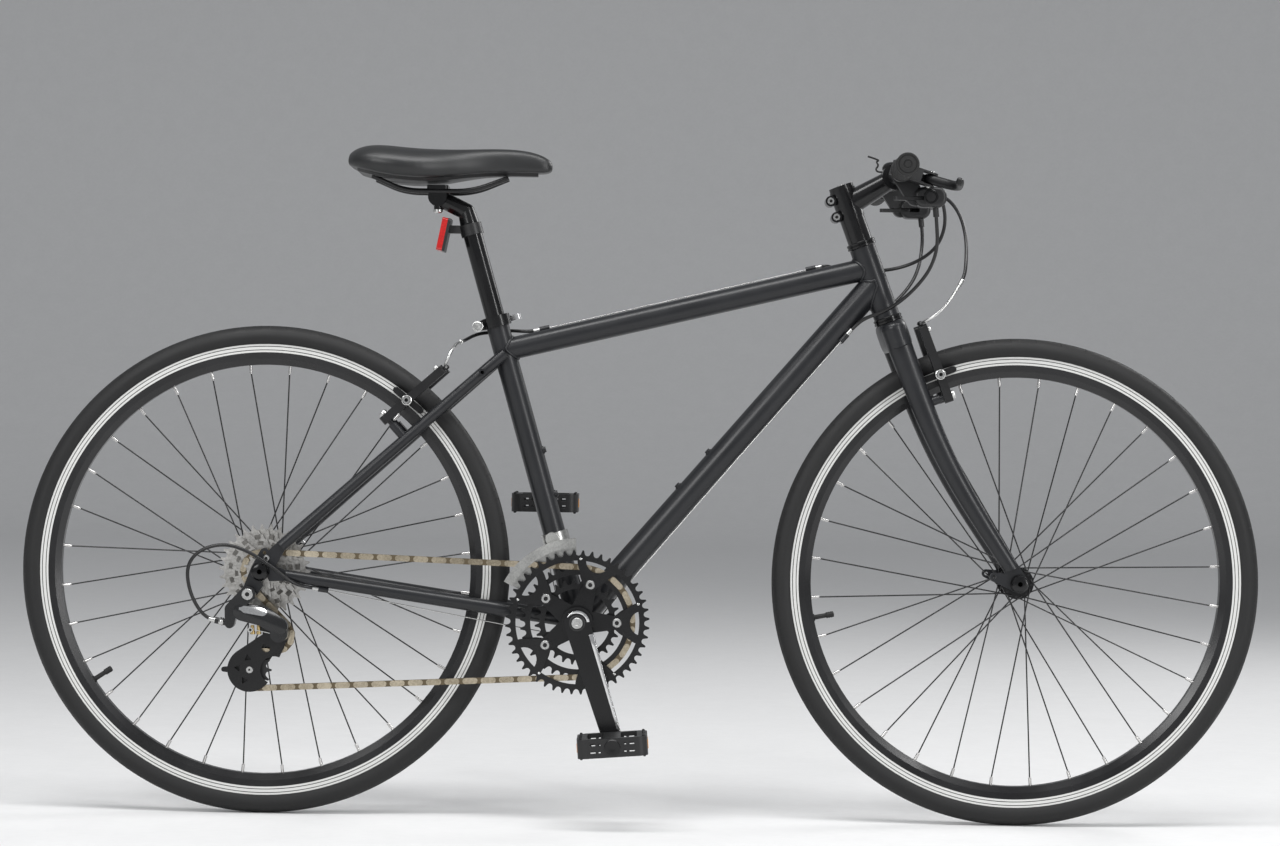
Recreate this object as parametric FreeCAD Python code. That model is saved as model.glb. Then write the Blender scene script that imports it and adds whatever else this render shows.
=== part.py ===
import FreeCAD, Part
import math
import os

# Hybrid bicycle, in millimetres: +X to the front, +Y to the rider's left, +Z up from the ground.
# The origin is on the ground, midway between the two axles.

V = FreeCAD.Vector

# Driving dimensions of the frame and wheels
wheelbase = 1055.0
tyre_radius = 343.0
tyre_width = 32.0
bottom_bracket_x = -87.0
bottom_bracket_drop = 64.0
seat_angle = 73.7
seat_tube_length = 438.0
head_angle = 69.5
fork_rake = 45.0
fork_length = 408.0
head_tube_length = 103.5
top_tube_at_seat = 394.0
top_tube_at_head = 77.0
down_tube_at_head = 54.0
head_tube_od = 37.0
top_tube_od = 31.8
down_tube_od = 38.0
seat_tube_od = 31.8
tube_wall = 1.8
rear_spacing = 135.0
front_spacing = 100.0
fit_gap = 0.3
running_gap = 0.05

# Places that follow from the driving dimensions
axle_z = tyre_radius
rear_axle_x = -wheelbase / 2
front_axle_x = wheelbase / 2
bb = V(bottom_bracket_x, 0, axle_z - bottom_bracket_drop)
seat_up = V(-math.cos(math.radians(seat_angle)), 0, math.sin(math.radians(seat_angle)))
seat_back = V(-seat_up.z, 0, seat_up.x)
steer_up = V(-math.cos(math.radians(head_angle)), 0, math.sin(math.radians(head_angle)))
steer_ahead = V(steer_up.z, 0, -steer_up.x)
front_axle_at = V(front_axle_x, 0, axle_z)
rear_axle_at = V(rear_axle_x, 0, axle_z)
crown_race = front_axle_at + steer_up * fork_length - steer_ahead * fork_rake
LEFT = V(0, 1, 0)
RIGHT = V(0, -1, 0)


def on_steer(up, ahead=0.0, side=0.0):
    """A point by its height along the steering axis, its reach ahead of it and its side."""
    return crown_race + steer_up * up + steer_ahead * ahead + LEFT * side


def on_seat(up, ahead=0.0, side=0.0):
    """A point by its height along the seat tube, its reach ahead of it and its side."""
    return bb + seat_up * up - seat_back * ahead + LEFT * side


def rod(start, end, radius):
    """A round bar between two points."""
    run = end - start
    return Part.makeCylinder(radius, run.Length, start, run)


def taper(start, end, radius_start, radius_end):
    """A tapered round bar between two points."""
    run = end - start
    return Part.makeCone(radius_start, radius_end, run.Length, start, run)


def fuse(shapes):
    """One shape out of several that meet."""
    first, rest = shapes[0], list(shapes[1:])
    return first.fuse(rest).removeSplitter() if rest else first


def cut(shape, tools):
    """A shape less several others."""
    return shape.cut(list(tools)) if tools else shape


def hub_turned(profile, centre):
    """A solid of revolution about the crosswise line through a point, from (y, radius) pairs."""
    points = [V(centre.x, y, centre.z + radius) for y, radius in profile]
    face = Part.Face(Part.makePolygon(points + points[:1]))
    return face.revolve(V(centre.x, 0, centre.z), LEFT, 360)


def frame_at(origin, across, up):
    """A placement whose flat plane is spanned by two directions."""
    out = across.cross(up)
    return FreeCAD.Placement(origin, FreeCAD.Rotation(across, up, out, "ZXY"))


def link_face(start, radius_start, end, radius_end):
    """The flat outline drawn tight around two circles, as a face in the XY plane."""
    run = V(end[0] - start[0], end[1] - start[1], 0)
    heading = math.atan2(run.y, run.x)
    lean = math.acos((radius_start - radius_end) / run.Length)

    def at(centre, radius, angle):
        return V(centre[0] + radius * math.cos(angle), centre[1] + radius * math.sin(angle), 0)

    left, right = heading + lean, heading - lean
    far = Part.Arc(at(end, radius_end, right), at(end, radius_end, heading), at(end, radius_end, left))
    back = heading + math.pi
    near = Part.Arc(
        at(start, radius_start, left), at(start, radius_start, back), at(start, radius_start, right)
    )
    edges = [
        far.toShape(),
        Part.makeLine(at(end, radius_end, left), at(start, radius_start, left)),
        near.toShape(),
        Part.makeLine(at(start, radius_start, right), at(end, radius_end, right)),
    ]
    return Part.Face(Part.Wire(edges))


def link_plate(start, radius_start, end, radius_end, thickness, placement):
    """A flat link around two circles, from its plane to its thickness, set in place."""
    plate = link_face(start, radius_start, end, radius_end).extrude(V(0, 0, thickness))
    plate.Placement = placement
    return plate


def side_plate(start, radius_start, end, radius_end, y_from, y_to):
    """A link plate standing fore and aft, between two distances to the side."""
    placement = frame_at(V(0, y_to, 0), V(1, 0, 0), V(0, 0, 1))
    return link_plate(start, radius_start, end, radius_end, y_to - y_from, placement)


def oval(centre, across, up, half_across, half_up):
    """An oval wire with its longer half named by its own direction."""
    if half_across >= half_up:
        curve = Part.Ellipse(centre + across * half_across, centre + up * half_up, centre)
    else:
        curve = Part.Ellipse(centre + up * half_up, centre - across * half_across, centre)
    return Part.Wire(curve.toShape())


bend_share = 0.45
bend_reach = 60.0


def route_path(points, reach):
    """Straight runs joined by tangent arcs, each as large as its runs and a reach allow."""
    edges, last, radii = [], points[0], []
    for before, here, after in zip(points, points[1:], points[2:]):
        way_in = (here - before).normalize()
        way_out = (after - here).normalize()
        half_turn = way_in.getAngle(way_out) / 2
        setback = min(bend_share * min((here - before).Length, (after - here).Length), reach)
        radius = setback / math.tan(half_turn)
        radii.append(radius)
        arc_in = here - way_in * setback
        arc_out = here + way_out * setback
        to_centre = (way_out - way_in).normalize()
        middle = here + to_centre * (radius / math.cos(half_turn) - radius)
        edges.append(Part.makeLine(last, arc_in))
        edges.append(Part.Arc(arc_in, middle, arc_out).toShape())
        last = arc_out
    edges.append(Part.makeLine(last, points[-1]))
    return Part.Wire(edges), radii


def cord(points, radius, name, reach=bend_reach):
    """A round cord along a route, with its bends printed."""
    path, radii = route_path(points, reach)
    start = (points[1] - points[0]).normalize()
    profile = Part.Wire(Part.makeCircle(radius, points[0], start))
    solid = path.makePipeShell([profile], True, True)
    expected = math.pi * radius * radius * path.Length
    print(name, "bends", [round(r, 1) for r in radii], "volume share", round(solid.Volume / expected, 4))
    return solid


nodes = {}


def keep(name, *solids):
    """Put the solids of one piece under its name."""
    nodes[name] = Part.makeCompound(list(solids)) if len(solids) > 1 else solids[0]


# Frame tubes: round aluminium tubes mitred to each other and welded
cup_height = 9.0
shell_od = 40.0
shell_width = 68.0
shell_wall = 3.0
seatpost_od = 27.2
head_bore = 31.0
bottle_on_down = (235.0, 299.0)
bottle_on_seat = (180.0, 244.0)
insert_radius = 3.5
insert_depth = 9.0
insert_flange = 5.5
insert_rise = 1.2
bolt_head_radius = 4.2
bolt_head_rise = 2.6

head_low = on_steer(cup_height / 2)
head_high = on_steer(cup_height / 2 + head_tube_length)
shell_out = rod(bb - LEFT * (shell_width / 2), bb + LEFT * (shell_width / 2), shell_od / 2)
shell_round = rod(bb - LEFT * shell_width, bb + LEFT * shell_width, shell_od / 2)
shell_bore = shell_od / 2 - shell_wall
shell_hole = rod(bb - LEFT * (shell_width / 2), bb + LEFT * (shell_width / 2), shell_bore)
seat_top = on_seat(seat_tube_length)
seat_out = rod(bb, seat_top, seat_tube_od / 2)
seat_bore = seatpost_od / 2 + running_gap
seat_hole = rod(on_seat(shell_od / 2), seat_top, seat_bore)
head_out = rod(head_low, head_high, head_tube_od / 2)
top_start = on_seat(top_tube_at_seat)
top_end = on_steer(top_tube_at_head)
top_out = rod(top_start, top_end, top_tube_od / 2)
down_end = on_steer(down_tube_at_head)
down_out = rod(bb, down_end, down_tube_od / 2)
top_run = (top_end - top_start).normalize()
top_above = LEFT.cross(top_run) * -1
down_run = (down_end - bb).normalize()
down_above = LEFT.cross(down_run) * -1


def bottle_holes():
    """The four threaded places for a bottle cage, two on each tube."""
    places = []
    for along in bottle_on_down:
        places.append((bb + down_run * along + down_above * (down_tube_od / 2), down_above))
    for along in bottle_on_seat:
        places.append((on_seat(along, seat_tube_od / 2), seat_back * -1))
    return places


inserts = [rod(at - out * insert_depth, at, insert_radius) for at, out in bottle_holes()]


def frame_tubes():
    """The head tube, top tube, down tube, and seat tube with its bottom bracket shell."""
    keep("head_tube", head_out.cut(rod(head_low, head_high, head_bore / 2)))
    seat = fuse([cut(seat_out, [shell_out]), shell_out])
    keep("seat_tube", cut(seat, [shell_hole, seat_hole] + inserts[len(bottle_on_down):]))
    down_hole = rod(bb, down_end, down_tube_od / 2 - tube_wall)
    down = cut(down_out, [down_hole, head_out, shell_out, seat_out] + inserts[: len(bottle_on_down)])
    keep("down_tube", main_solid(down))
    top_hole = rod(top_start, top_end, top_tube_od / 2 - tube_wall)
    keep("top_tube", main_solid(cut(top_out, [top_hole, head_out, seat_out, down_out])))


def main_solid(shape):
    """The largest solid of a cut shape."""
    return max(shape.Solids, key=lambda solid: solid.Volume)


frame_tubes()

# Rear triangle: tapered chain stays, round seat stays, and a flat dropout plate on each side
dropout_inner = rear_spacing / 2
dropout_thick = 6.0
stay_y = dropout_inner + dropout_thick / 2
chain_stay_back = 34.0
chain_stay_low = 5.0
chain_stay_side = 21.0
chain_stay_thick = 11.0
chain_stay_thin = 8.0
seat_stay_radius = 8.0
seat_stay_meet = 389.0
seat_stay_side = 17.0
seat_stay_ahead = 27.5
seat_stay_high = 35.0
stay_wall = 1.5
bridge_radius = 6.0
seat_bridge_share = 0.84
chain_bridge_share = 0.86
axle_radius = 5.0
slot_gap = 0.1
plate_round = 14.0
plate_inset = 0.6
hanger_back = 15.5
hanger_low = 31.0
hanger_round = 10.5
hanger_hole = 5.0
eyelet_ahead = 5.0
eyelet_high = 26.0
eyelet_round = 6.5
eyelet_hole = 2.6
rack_boss_share = 0.90
rack_boss_radius = 5.0
rack_boss_rise = 4.0
boss_radius = 4.0
boss_foot = 6.5
boss_foot_rise = 28.0
brake_pivot_y = 40.0
rear_brake_up = 226.7
rear_brake_out = 39.5
brake_arm_thick = 12.0

chain_foot = rear_axle_at + V(chain_stay_back, 0, -chain_stay_low)
chain_run = (bb - chain_foot).normalize()
seat_stay_foot = rear_axle_at + V(seat_stay_ahead, 0, seat_stay_high)
stay_up = (on_seat(seat_stay_meet) - seat_stay_foot).normalize()
stay_out = V(-stay_up.z, 0, stay_up.x)
stay_length = (on_seat(seat_stay_meet) - seat_stay_foot).Length


def stay_side(up):
    """How far a seat stay stands to the side, at a height along it."""
    return stay_y + (seat_stay_side - stay_y) * up / stay_length


def on_stay(up, out=0.0, side=0.0):
    """A point by its height along the seat stays, its reach behind them and its side."""
    return seat_stay_foot + stay_up * up + stay_out * out + LEFT * side


def across(at, radius, y_from, y_to):
    """A round bar from side to side at a place given by (x, z)."""
    return rod(V(at[0], y_from, at[1]), V(at[0], y_to, at[1]), radius)


def dropout(side):
    """A flat plate that joins two stays and holds the axle, with the gear hanger on the right."""
    y_from = dropout_inner if side > 0 else -dropout_inner - dropout_thick
    y_to = y_from + dropout_thick
    axle = (rear_axle_x, axle_z)
    lower = (chain_foot.x, chain_foot.z)
    upper = (seat_stay_foot.x, seat_stay_foot.z)
    eyelet = (rear_axle_x + eyelet_ahead, axle_z + eyelet_high)
    pieces = [
        side_plate(axle, plate_round, lower, chain_stay_thin - plate_inset, y_from, y_to),
        side_plate(axle, plate_round, upper, seat_stay_radius - plate_inset, y_from, y_to),
        side_plate(axle, plate_round, eyelet, eyelet_round, y_from, y_to),
    ]
    holes = [across(eyelet, eyelet_hole, y_from, y_to)]
    if side < 0:
        hanger = (rear_axle_x - hanger_back, axle_z - hanger_low)
        pieces.append(side_plate(axle, plate_round, hanger, hanger_round, y_from, y_to))
        holes.append(across(hanger, hanger_hole, y_from, y_to))
    slot_end = (rear_axle_x + plate_round, axle_z - 2 * plate_round)
    slot_half = axle_radius + slot_gap
    holes.append(side_plate(axle, slot_half, slot_end, slot_half, y_from, y_to))
    return cut(fuse(pieces), holes)


def chain_stay(side, plate):
    """One tapered chain stay, from its dropout to the bottom bracket shell."""
    foot = chain_foot + LEFT * (side * stay_y)
    end = bb + LEFT * (side * chain_stay_side)
    tube = taper(foot, end, chain_stay_thin, chain_stay_thick)
    hole = taper(foot, end, chain_stay_thin - stay_wall, chain_stay_thick - stay_wall)
    return main_solid(cut(tube, [hole, shell_round, seat_out, plate]))


def seat_stay(side, plate):
    """One seat stay, with its brake post and its rack boss."""
    foot = seat_stay_foot + LEFT * (side * stay_y)
    end = on_seat(seat_stay_meet, 0, side * seat_stay_side)
    tube = rod(foot, end, seat_stay_radius)
    hole = rod(foot, end, seat_stay_radius - stay_wall)
    pivot = on_stay(rear_brake_up, 0, side * brake_pivot_y)
    post_foot = rod(pivot, pivot + stay_out * boss_foot_rise, boss_foot)
    post = rod(pivot, pivot + stay_out * (rear_brake_out + brake_arm_thick / 2), boss_radius)
    rack_up = rack_boss_share * stay_length
    rack_in = on_stay(rack_up, 0, side * stay_side(rack_up))
    rack_out = rack_in + LEFT * (side * (seat_stay_radius + rack_boss_rise))
    rack = rod(rack_in, rack_out, rack_boss_radius)
    whole = cut(fuse([tube, post_foot, post, rack]), [seat_out, top_out, plate])
    return main_solid(cut(whole, [hole, rod(rack_in, rack_out, eyelet_hole)]))


def bridge(share, foot, end, side_end, radius_at):
    """A short round tube across a pair of stays, at a share of their length."""
    at = foot + (end - foot) * share
    half = stay_y + (side_end - stay_y) * share
    whole = rod(at - LEFT * half, at + LEFT * half, bridge_radius)
    walls = []
    for side in (1, -1):
        walls.append(taper(foot + LEFT * (side * stay_y), end + LEFT * (side * side_end), *radius_at))
    return main_solid(cut(whole, walls))


def rear_triangle():
    """Both chain stays with their dropouts, both seat stays, and the two bridges."""
    plates = {side: dropout(side) for side in (1, -1)}
    chain_stays = [chain_stay(side, plates[side]) for side in (1, -1)]
    seat_stays = [seat_stay(side, plates[side]) for side in (1, -1)]
    low = bridge(chain_bridge_share, chain_foot, bb, chain_stay_side, (chain_stay_thin, chain_stay_thick))
    thin = seat_stay_radius - fit_gap / 1000
    high = bridge(seat_bridge_share, seat_stay_foot, on_seat(seat_stay_meet), seat_stay_side,
                  (thin, seat_stay_radius))
    keep("chain_stays", *chain_stays, low, *plates.values())
    keep("seat_stays", *seat_stays, high)


rear_triangle()

# Small fittings on the frame: threaded inserts with their bolts, and the cable stops
stop_radius = 4.0
stop_length = 14.0
stop_sink = 1.0
top_stop_front = 447.0
top_stop_rear = 62.0
top_stop_side = 6.0
down_stop = 545.0
down_stop_angle = 142.0
stay_stop_share = 0.13
housing_radius = 2.5
inner_wire = 0.8
wire_gap = 0.4
stop_rise = stop_radius - stop_sink
guide_radius = 4.0
guide_drop = 1.0
guide_half = 15.0


def down_side(along, side, rise):
    """A place beside the down tube, on the line where a gear cable runs."""
    turn = math.radians(down_stop_angle)
    out = LEFT * (side * math.sin(turn)) + down_above * math.cos(turn)
    return bb + down_run * along + out * (down_tube_od / 2 + rise)


def top_side(along, rise):
    """A place on top of the top tube, on the line of the rear brake cable."""
    lean = math.asin(top_stop_side / (top_tube_od / 2))
    out = LEFT * math.sin(lean) + top_above * math.cos(lean)
    return top_start + top_run * along + out * (top_tube_od / 2 + rise)


stay_stop = chain_foot + (bb - chain_foot) * stay_stop_share
stay_stop_side = -(stay_y + (chain_stay_side - stay_y) * stay_stop_share)
stay_stop_thick = chain_stay_thin + (chain_stay_thick - chain_stay_thin) * stay_stop_share
stay_stop = stay_stop + LEFT * stay_stop_side - V(0, 0, stay_stop_thick + stop_rise)


def cable_stop(middle, run, tube):
    """A short barrel that holds a housing's end, seated on its tube, with a hole for the cable."""
    half = run * (stop_length / 2)
    barrel = rod(middle - half, middle + half, stop_radius)
    hole = rod(middle - half, middle + half, inner_wire + wire_gap)
    return cut(barrel, [tube, hole])


def fittings():
    """The inserts with their bolts, and five cable stops."""
    solids = []
    for at, out in bottle_holes():
        body = rod(at - out * insert_depth, at, insert_radius)
        flange = rod(at - out * insert_rise, at + out * insert_rise, insert_flange)
        head = rod(at + out * insert_rise, at + out * (insert_rise + bolt_head_rise), bolt_head_radius)
        shaped = cut(flange, [down_out, seat_out])
        solids.append(fuse([body, main_solid(shaped), head]))
    for along in (top_stop_front, top_stop_rear):
        solids.append(cable_stop(top_side(along, stop_rise), top_run, top_out))
    for side in (1, -1):
        solids.append(cable_stop(down_side(down_stop, side, stop_rise), down_run, down_out))
    right_foot = chain_foot - LEFT * stay_y
    right_end = bb - LEFT * chain_stay_side
    stay = taper(right_foot, right_end, chain_stay_thin, chain_stay_thick)
    solids.append(cable_stop(stay_stop, (right_end - right_foot).normalize(), stay))
    guide = across((bb.x, bb.z - shell_od / 2 - guide_drop), guide_radius, -guide_half, guide_half)
    solids.append(main_solid(cut(guide, [shell_out])))
    keep("frame_fittings", *solids)


fittings()

# Headset cups and the bottom bracket unit, pressed and screwed into the frame
cup_od = 41.0
cup_skirt = 10.0
steerer_od = 28.6
spindle_radius = 8.5
unit_lip = 2.5
unit_lip_radius = 18.5


def bearings():
    """Two headset cups and the bottom bracket unit."""
    bore = steerer_od / 2 + running_gap
    cups = []
    for rim, inward in ((head_low, 1), (head_high, -1)):
        lip_end = rim - steer_up * (inward * cup_height)
        skirt_end = rim + steer_up * (inward * cup_skirt)
        cup = fuse([rod(lip_end, rim, cup_od / 2), rod(rim, skirt_end, head_bore / 2)])
        cups.append(cut(cup, [rod(lip_end, skirt_end, bore)]))
    keep("headset_cups", *cups)
    half = shell_width / 2
    profile = [
        (-half - unit_lip, spindle_radius + running_gap),
        (-half - unit_lip, unit_lip_radius),
        (-half, unit_lip_radius),
        (-half, shell_bore),
        (half, shell_bore),
        (half, unit_lip_radius),
        (half + unit_lip, unit_lip_radius),
        (half + unit_lip, spindle_radius + running_gap),
    ]
    keep("bottom_bracket", hub_turned(profile, bb))


bearings()

# Seat collar with its quick release, round the top of the seat tube
collar_height = 15.0
collar_rise = 5.5
collar_radius = 20.0
ear_gap = 3.0
ear_side = 9.0
ear_reach = 27.0
ear_round = 6.5
skewer_radius = 3.0
nut_radius = 6.5
nut_length = 7.0
washer_thick = 1.2
lever_thick = 8.0
lever_round = 5.5
lever_mid_side = 27.0
lever_mid_round = 3.5
lever_tip_ahead = 30.0
lever_tip_side = 24.5
lever_tip_round = 4.5

collar_low = on_seat(seat_tube_length + collar_rise - collar_height)
collar_high = on_seat(seat_tube_length + collar_rise)
collar_mid = (collar_low + collar_high) * 0.5
collar_pin = collar_mid + seat_back * ear_reach
lever_pivot_side = ear_side + washer_thick + fit_gap + lever_round


def seat_collar():
    """The split collar with its two ears, and the skewer with its nut and washer."""
    ring = rod(collar_low, collar_high, collar_radius)
    ears = []
    for side in (1, -1):
        start = collar_mid + LEFT * (side * ear_gap / 2)
        ears.append(link_plate((0, 0), collar_height / 2, (ear_reach, 0), ear_round, ear_side - ear_gap / 2,
                               frame_at(start, seat_back, seat_up * side)))
    slot = Part.makeBox(ear_reach, ear_gap, collar_height)
    slot.Placement = frame_at(collar_low + LEFT * (ear_gap / 2), seat_back, RIGHT)
    post_hole = rod(collar_low, collar_high, seat_bore)
    body = cut(fuse([ring] + ears), [seat_out, post_hole, slot])
    nut_end = collar_pin - LEFT * (ear_side + nut_length)
    washer_end = collar_pin + LEFT * (ear_side + washer_thick)
    skewer = rod(nut_end, washer_end, skewer_radius)
    nut = rod(nut_end, collar_pin - LEFT * ear_side, nut_radius)
    washer = rod(collar_pin + LEFT * ear_side, washer_end, nut_radius)
    keep("seat_collar", fuse([body, skewer, nut, washer]))


def collar_lever():
    """The quick release lever that lies forward round the left of the collar."""
    place = frame_at(collar_pin - seat_up * (lever_thick / 2), seat_back * -1, LEFT)
    pivot = (0, lever_pivot_side)
    mid = (ear_reach, lever_mid_side)
    tip = (ear_reach + lever_tip_ahead, lever_tip_side)
    first = link_plate(pivot, lever_round, mid, lever_mid_round, lever_thick, place)
    second = link_plate(mid, lever_mid_round, tip, lever_tip_round, lever_thick, place)
    keep("seat_qr_lever", fuse([first, second]))


seat_collar()
collar_lever()

# Seatpost with its set-back head, the saddle clamp, and the rear reflector on its bracket
seatpost_low = 330.0
seatpost_bend = 580.0
post_wall = 2.0
clamp_back = 33.0
clamp_rise = 46.0
head_radius = 12.0
cradle_radius = 13.0
cradle_half = 24.0
rail_radius = 3.5
rail_side = 22.0
rail_seat = 8.0
bolt_head = 6.0
bolt_drop = 17.0
clamp_plate = 5.0
clamp_width = 15.0
reflector_below = 10.0
strap_radius = 16.0
strap_height = 16.0
arm_half = 7.0
arm_height = 11.0
reflector_back = 32.0
reflector_thick = 8.0
reflector_half = 24.0
reflector_height = 47.0
reflector_backing = 4.0
reflector_tilt = 11.0
reflector_drop = 9.0

clamp_at = on_seat(seatpost_bend + clamp_rise, -clamp_back)
reflector_up = seatpost_bend - reflector_below
rail_run = V(1, 0, 0)


def seatpost():
    """The post, bent back at its top into the cradle under the saddle rails."""
    low = on_seat(seatpost_low)
    bend = on_seat(seatpost_bend)
    tube = rod(low, bend, seatpost_od / 2)
    hole = rod(low, bend, seatpost_od / 2 - post_wall)
    neck_knee = bend + seat_up * (clamp_back / 2)
    neck = taper(bend, neck_knee, seatpost_od / 2, head_radius)
    knee = Part.makeSphere(head_radius, neck_knee)
    arm = rod(neck_knee, clamp_at, head_radius)
    cradle = rod(clamp_at - LEFT * cradle_half, clamp_at + LEFT * cradle_half, cradle_radius)
    top = Part.makeBox(2 * cradle_half, 4 * cradle_half, cradle_half)
    top.translate(clamp_at + V(-cradle_half, -2 * cradle_half, rail_seat))
    grooves = [rail_groove(side) for side in (1, -1)]
    body = cut(fuse([tube, neck, knee, arm, cradle]), [top, hole] + grooves)
    bolt_top = clamp_at + V(0, 0, rail_seat - bolt_head)
    bolt_low = clamp_at - V(0, 0, bolt_drop)
    shank = rod(bolt_low, bolt_top, bolt_head)
    keep("seatpost", main_solid(fuse([body, shank])))


def rail_groove(side):
    """The round seat for one saddle rail."""
    middle = clamp_at + V(0, side * rail_side, rail_seat)
    return rod(middle - rail_run * cradle_half, middle + rail_run * cradle_half, rail_radius)


def saddle_clamp():
    """The upper clamp plate that the bolt draws down over both rails."""
    low = clamp_at + V(-clamp_width, -cradle_half, rail_seat + running_gap)
    plate = Part.makeBox(2 * clamp_width, 2 * cradle_half, rail_radius + clamp_plate)
    plate.translate(low)
    corners = [edge for edge in plate.Edges if abs(edge.tangentAt(0).z) > abs(edge.tangentAt(0).x)
               + abs(edge.tangentAt(0).y)]
    plate = plate.makeFillet(clamp_plate, corners)
    grooves = [rail_groove(side) for side in (1, -1)]
    keep("saddle_clamp", main_solid(cut(plate, grooves)))


def reflector():
    """A strap round the seatpost with an arm, a backing plate and the red reflector."""
    low = on_seat(reflector_up - strap_height / 2)
    high = on_seat(reflector_up + strap_height / 2)
    strap = rod(low, high, strap_radius)
    middle = on_seat(reflector_up)
    tilt = math.radians(reflector_tilt)
    plate_up = V(math.sin(tilt), 0, math.cos(tilt))
    plate_back = V(-plate_up.z, 0, plate_up.x)
    plate_at = middle - V(reflector_back, 0, reflector_drop)
    arm = Part.makeBox(reflector_back, 2 * arm_half, arm_height)
    arm.Placement = frame_at(middle + LEFT * arm_half - V(0, 0, arm_height / 2), V(-1, 0, 0), RIGHT)

    def panel(start, thick):
        box = Part.makeBox(2 * reflector_half, reflector_height, thick)
        corner = plate_at + LEFT * reflector_half - plate_up * (reflector_height / 2) + plate_back * start
        box.Placement = frame_at(corner, RIGHT, plate_up)
        edges = [edge for edge in box.Edges if abs(edge.tangentAt(0).dot(plate_back)) > math.cos(tilt)]
        return box.makeFillet(reflector_backing, edges)

    backing = panel(0, reflector_backing)
    lens = panel(reflector_backing, reflector_thick)
    post = rod(on_seat(seatpost_low), on_seat(seatpost_bend), seatpost_od / 2)
    keep("reflector_bracket", main_solid(cut(fuse([strap, arm, backing]), [post, lens])))
    keep("rear_reflector", lens)


seatpost()
saddle_clamp()
reflector()

# Saddle: a soft cover with a crown and drawn-in sides, over a moulded base on two bent rails
saddle_back = 124.629
saddle_length = 285.0
saddle_rise = 69.424
saddle_half = 76.0
saddle_deep = 40.0
base_thick = 4.0
base_inset = 5.0
rail_straight = 48.0
rail_tail_back = 89.629
rail_tail_side = 40.0
rail_tail_rise = 26.424
rail_nose_ahead = 98.371
rail_nose_side = 12.0
rail_nose_rise = 28.424
length_shares = (0.0, 0.05, 0.14, 0.28, 0.42, 0.55, 0.68, 0.82, 0.93, 0.985, 1.0)
width_shares = (0.52, 0.80, 0.97, 1.0, 0.84, 0.57, 0.38, 0.29, 0.25, 0.19, 0.10)
top_shares = (0.34, 0.13, 0.03, 0.09, 0.12, 0.08, 0.02, 0.02, 0.16, 0.36, 0.50)
low_shares = (0.70, 0.82, 0.98, 1.12, 1.12, 1.00, 0.88, 0.84, 0.84, 0.80, 0.72)
belly_share = 0.42
crown_share = 0.93
shoulder_share = 0.74
tuck_share = 0.90

saddle_tail = clamp_at.x - saddle_back
saddle_top = clamp_at.z + saddle_rise


def saddle_section(share, width, top, low):
    """One closed cross-section: crowned on top, fullest above its hem, drawn in below."""
    x = saddle_tail + saddle_length * share
    half = saddle_half * width
    z_low = saddle_top - saddle_deep * low
    tall = saddle_deep * (low - top)
    left = [(half * tuck_share, 0.0), (half, belly_share), (half * shoulder_share, crown_share)]
    points = [V(x, y, z_low + tall * up) for y, up in left]
    points.append(V(x, 0, z_low + tall))
    points += [V(x, -y, z_low + tall * up) for y, up in reversed(left)]
    curve = Part.BSplineCurve()
    curve.interpolate(points)
    return Part.Wire([curve.toShape(), Part.makeLine(points[-1], points[0])])


def saddle():
    """The cover, the base below it, and the rails."""
    rows = list(zip(length_shares, width_shares, top_shares, low_shares))
    keep("saddle_cover", Part.makeLoft([saddle_section(*row) for row in rows], True))
    rails = [saddle_rail(side) for side in (1, -1)]
    keep("saddle_rails", *rails)
    sections = [base_section(share, width, low) for share, width, top, low in rows[1:-2]]
    keep("saddle_base", main_solid(cut(Part.makeLoft(sections, True), rails)))


def base_section(share, width, low):
    """One flat cross-section of the moulded base, just below the cover's hem."""
    x = saddle_tail + saddle_length * share
    half = saddle_half * width * tuck_share - base_inset
    z_high = saddle_top - saddle_deep * low - fit_gap / 3
    corners = [
        V(x, -half, z_high),
        V(x, half, z_high),
        V(x, half - base_inset, z_high - base_thick),
        V(x, -half + base_inset, z_high - base_thick),
    ]
    return Part.makePolygon(corners + corners[:1])


def saddle_rail(side):
    """One rail: from under the tail down to the clamp and up under the nose."""
    low = clamp_at + V(0, side * rail_side, rail_seat)
    points = [
        clamp_at + V(-rail_tail_back, side * rail_tail_side, rail_tail_rise),
        low - rail_run * rail_straight,
        low + rail_run * rail_straight,
        clamp_at + V(rail_nose_ahead, side * rail_nose_side, rail_nose_rise),
    ]
    return cord(points, rail_radius, "saddle rail")


saddle()

# Wheels: tyre with its tube and valve, box-section rim, crossed spokes with nipples, and hub
tyre_rise = 26.0
rim_radius = tyre_radius - tyre_rise
rim_half = 12.0
rim_well_half = 9.4
bead_depth = 6.0
bead_radius = rim_radius - bead_depth
rim_depth = 29.0
rim_inner = rim_radius - rim_depth
rim_nose_half = 6.5
rim_wall = 1.8
track_depth = 12.0
track_low = rim_radius - track_depth
bead_gap = 0.2
bead_thick = 3.0
casing = 2.6
tube_wall_soft = 1.2
valve_radius = 4.0
valve_length = 30.0
valve_bore = 1.5
valve_hole_gap = 0.3
spoke_radius = 1.0
nipple_radius = 2.2
nipple_length = 11.0
nipple_head = 2.7
nipple_head_rise = 2.5
nipple_gap = 0.15
spoke_count = 32
spoke_cross_turn = 67.5
elbow_out = 1.35
rim_spoke_side = 1.2
rim_spoke_split = 0.6
flange_thick = 3.0
flange_lip = 3.5
spoke_hole = 1.25
spoke_head = 1.9
spoke_head_thick = 1.2
shell_radius = 11.0
front_flange_circle = 19.0
rear_flange_circle = 22.5
front_flange_side = 35.0
rear_flange_left = 34.0
rear_flange_right = 15.5
hub_end_gap = 1.0
front_axle_radius = 4.5
axle_stub = 5.5
cone_radius = 8.5
cone_length = 8.0
front_valve_angle = 191.0
rear_valve_angle = 213.6


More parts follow.
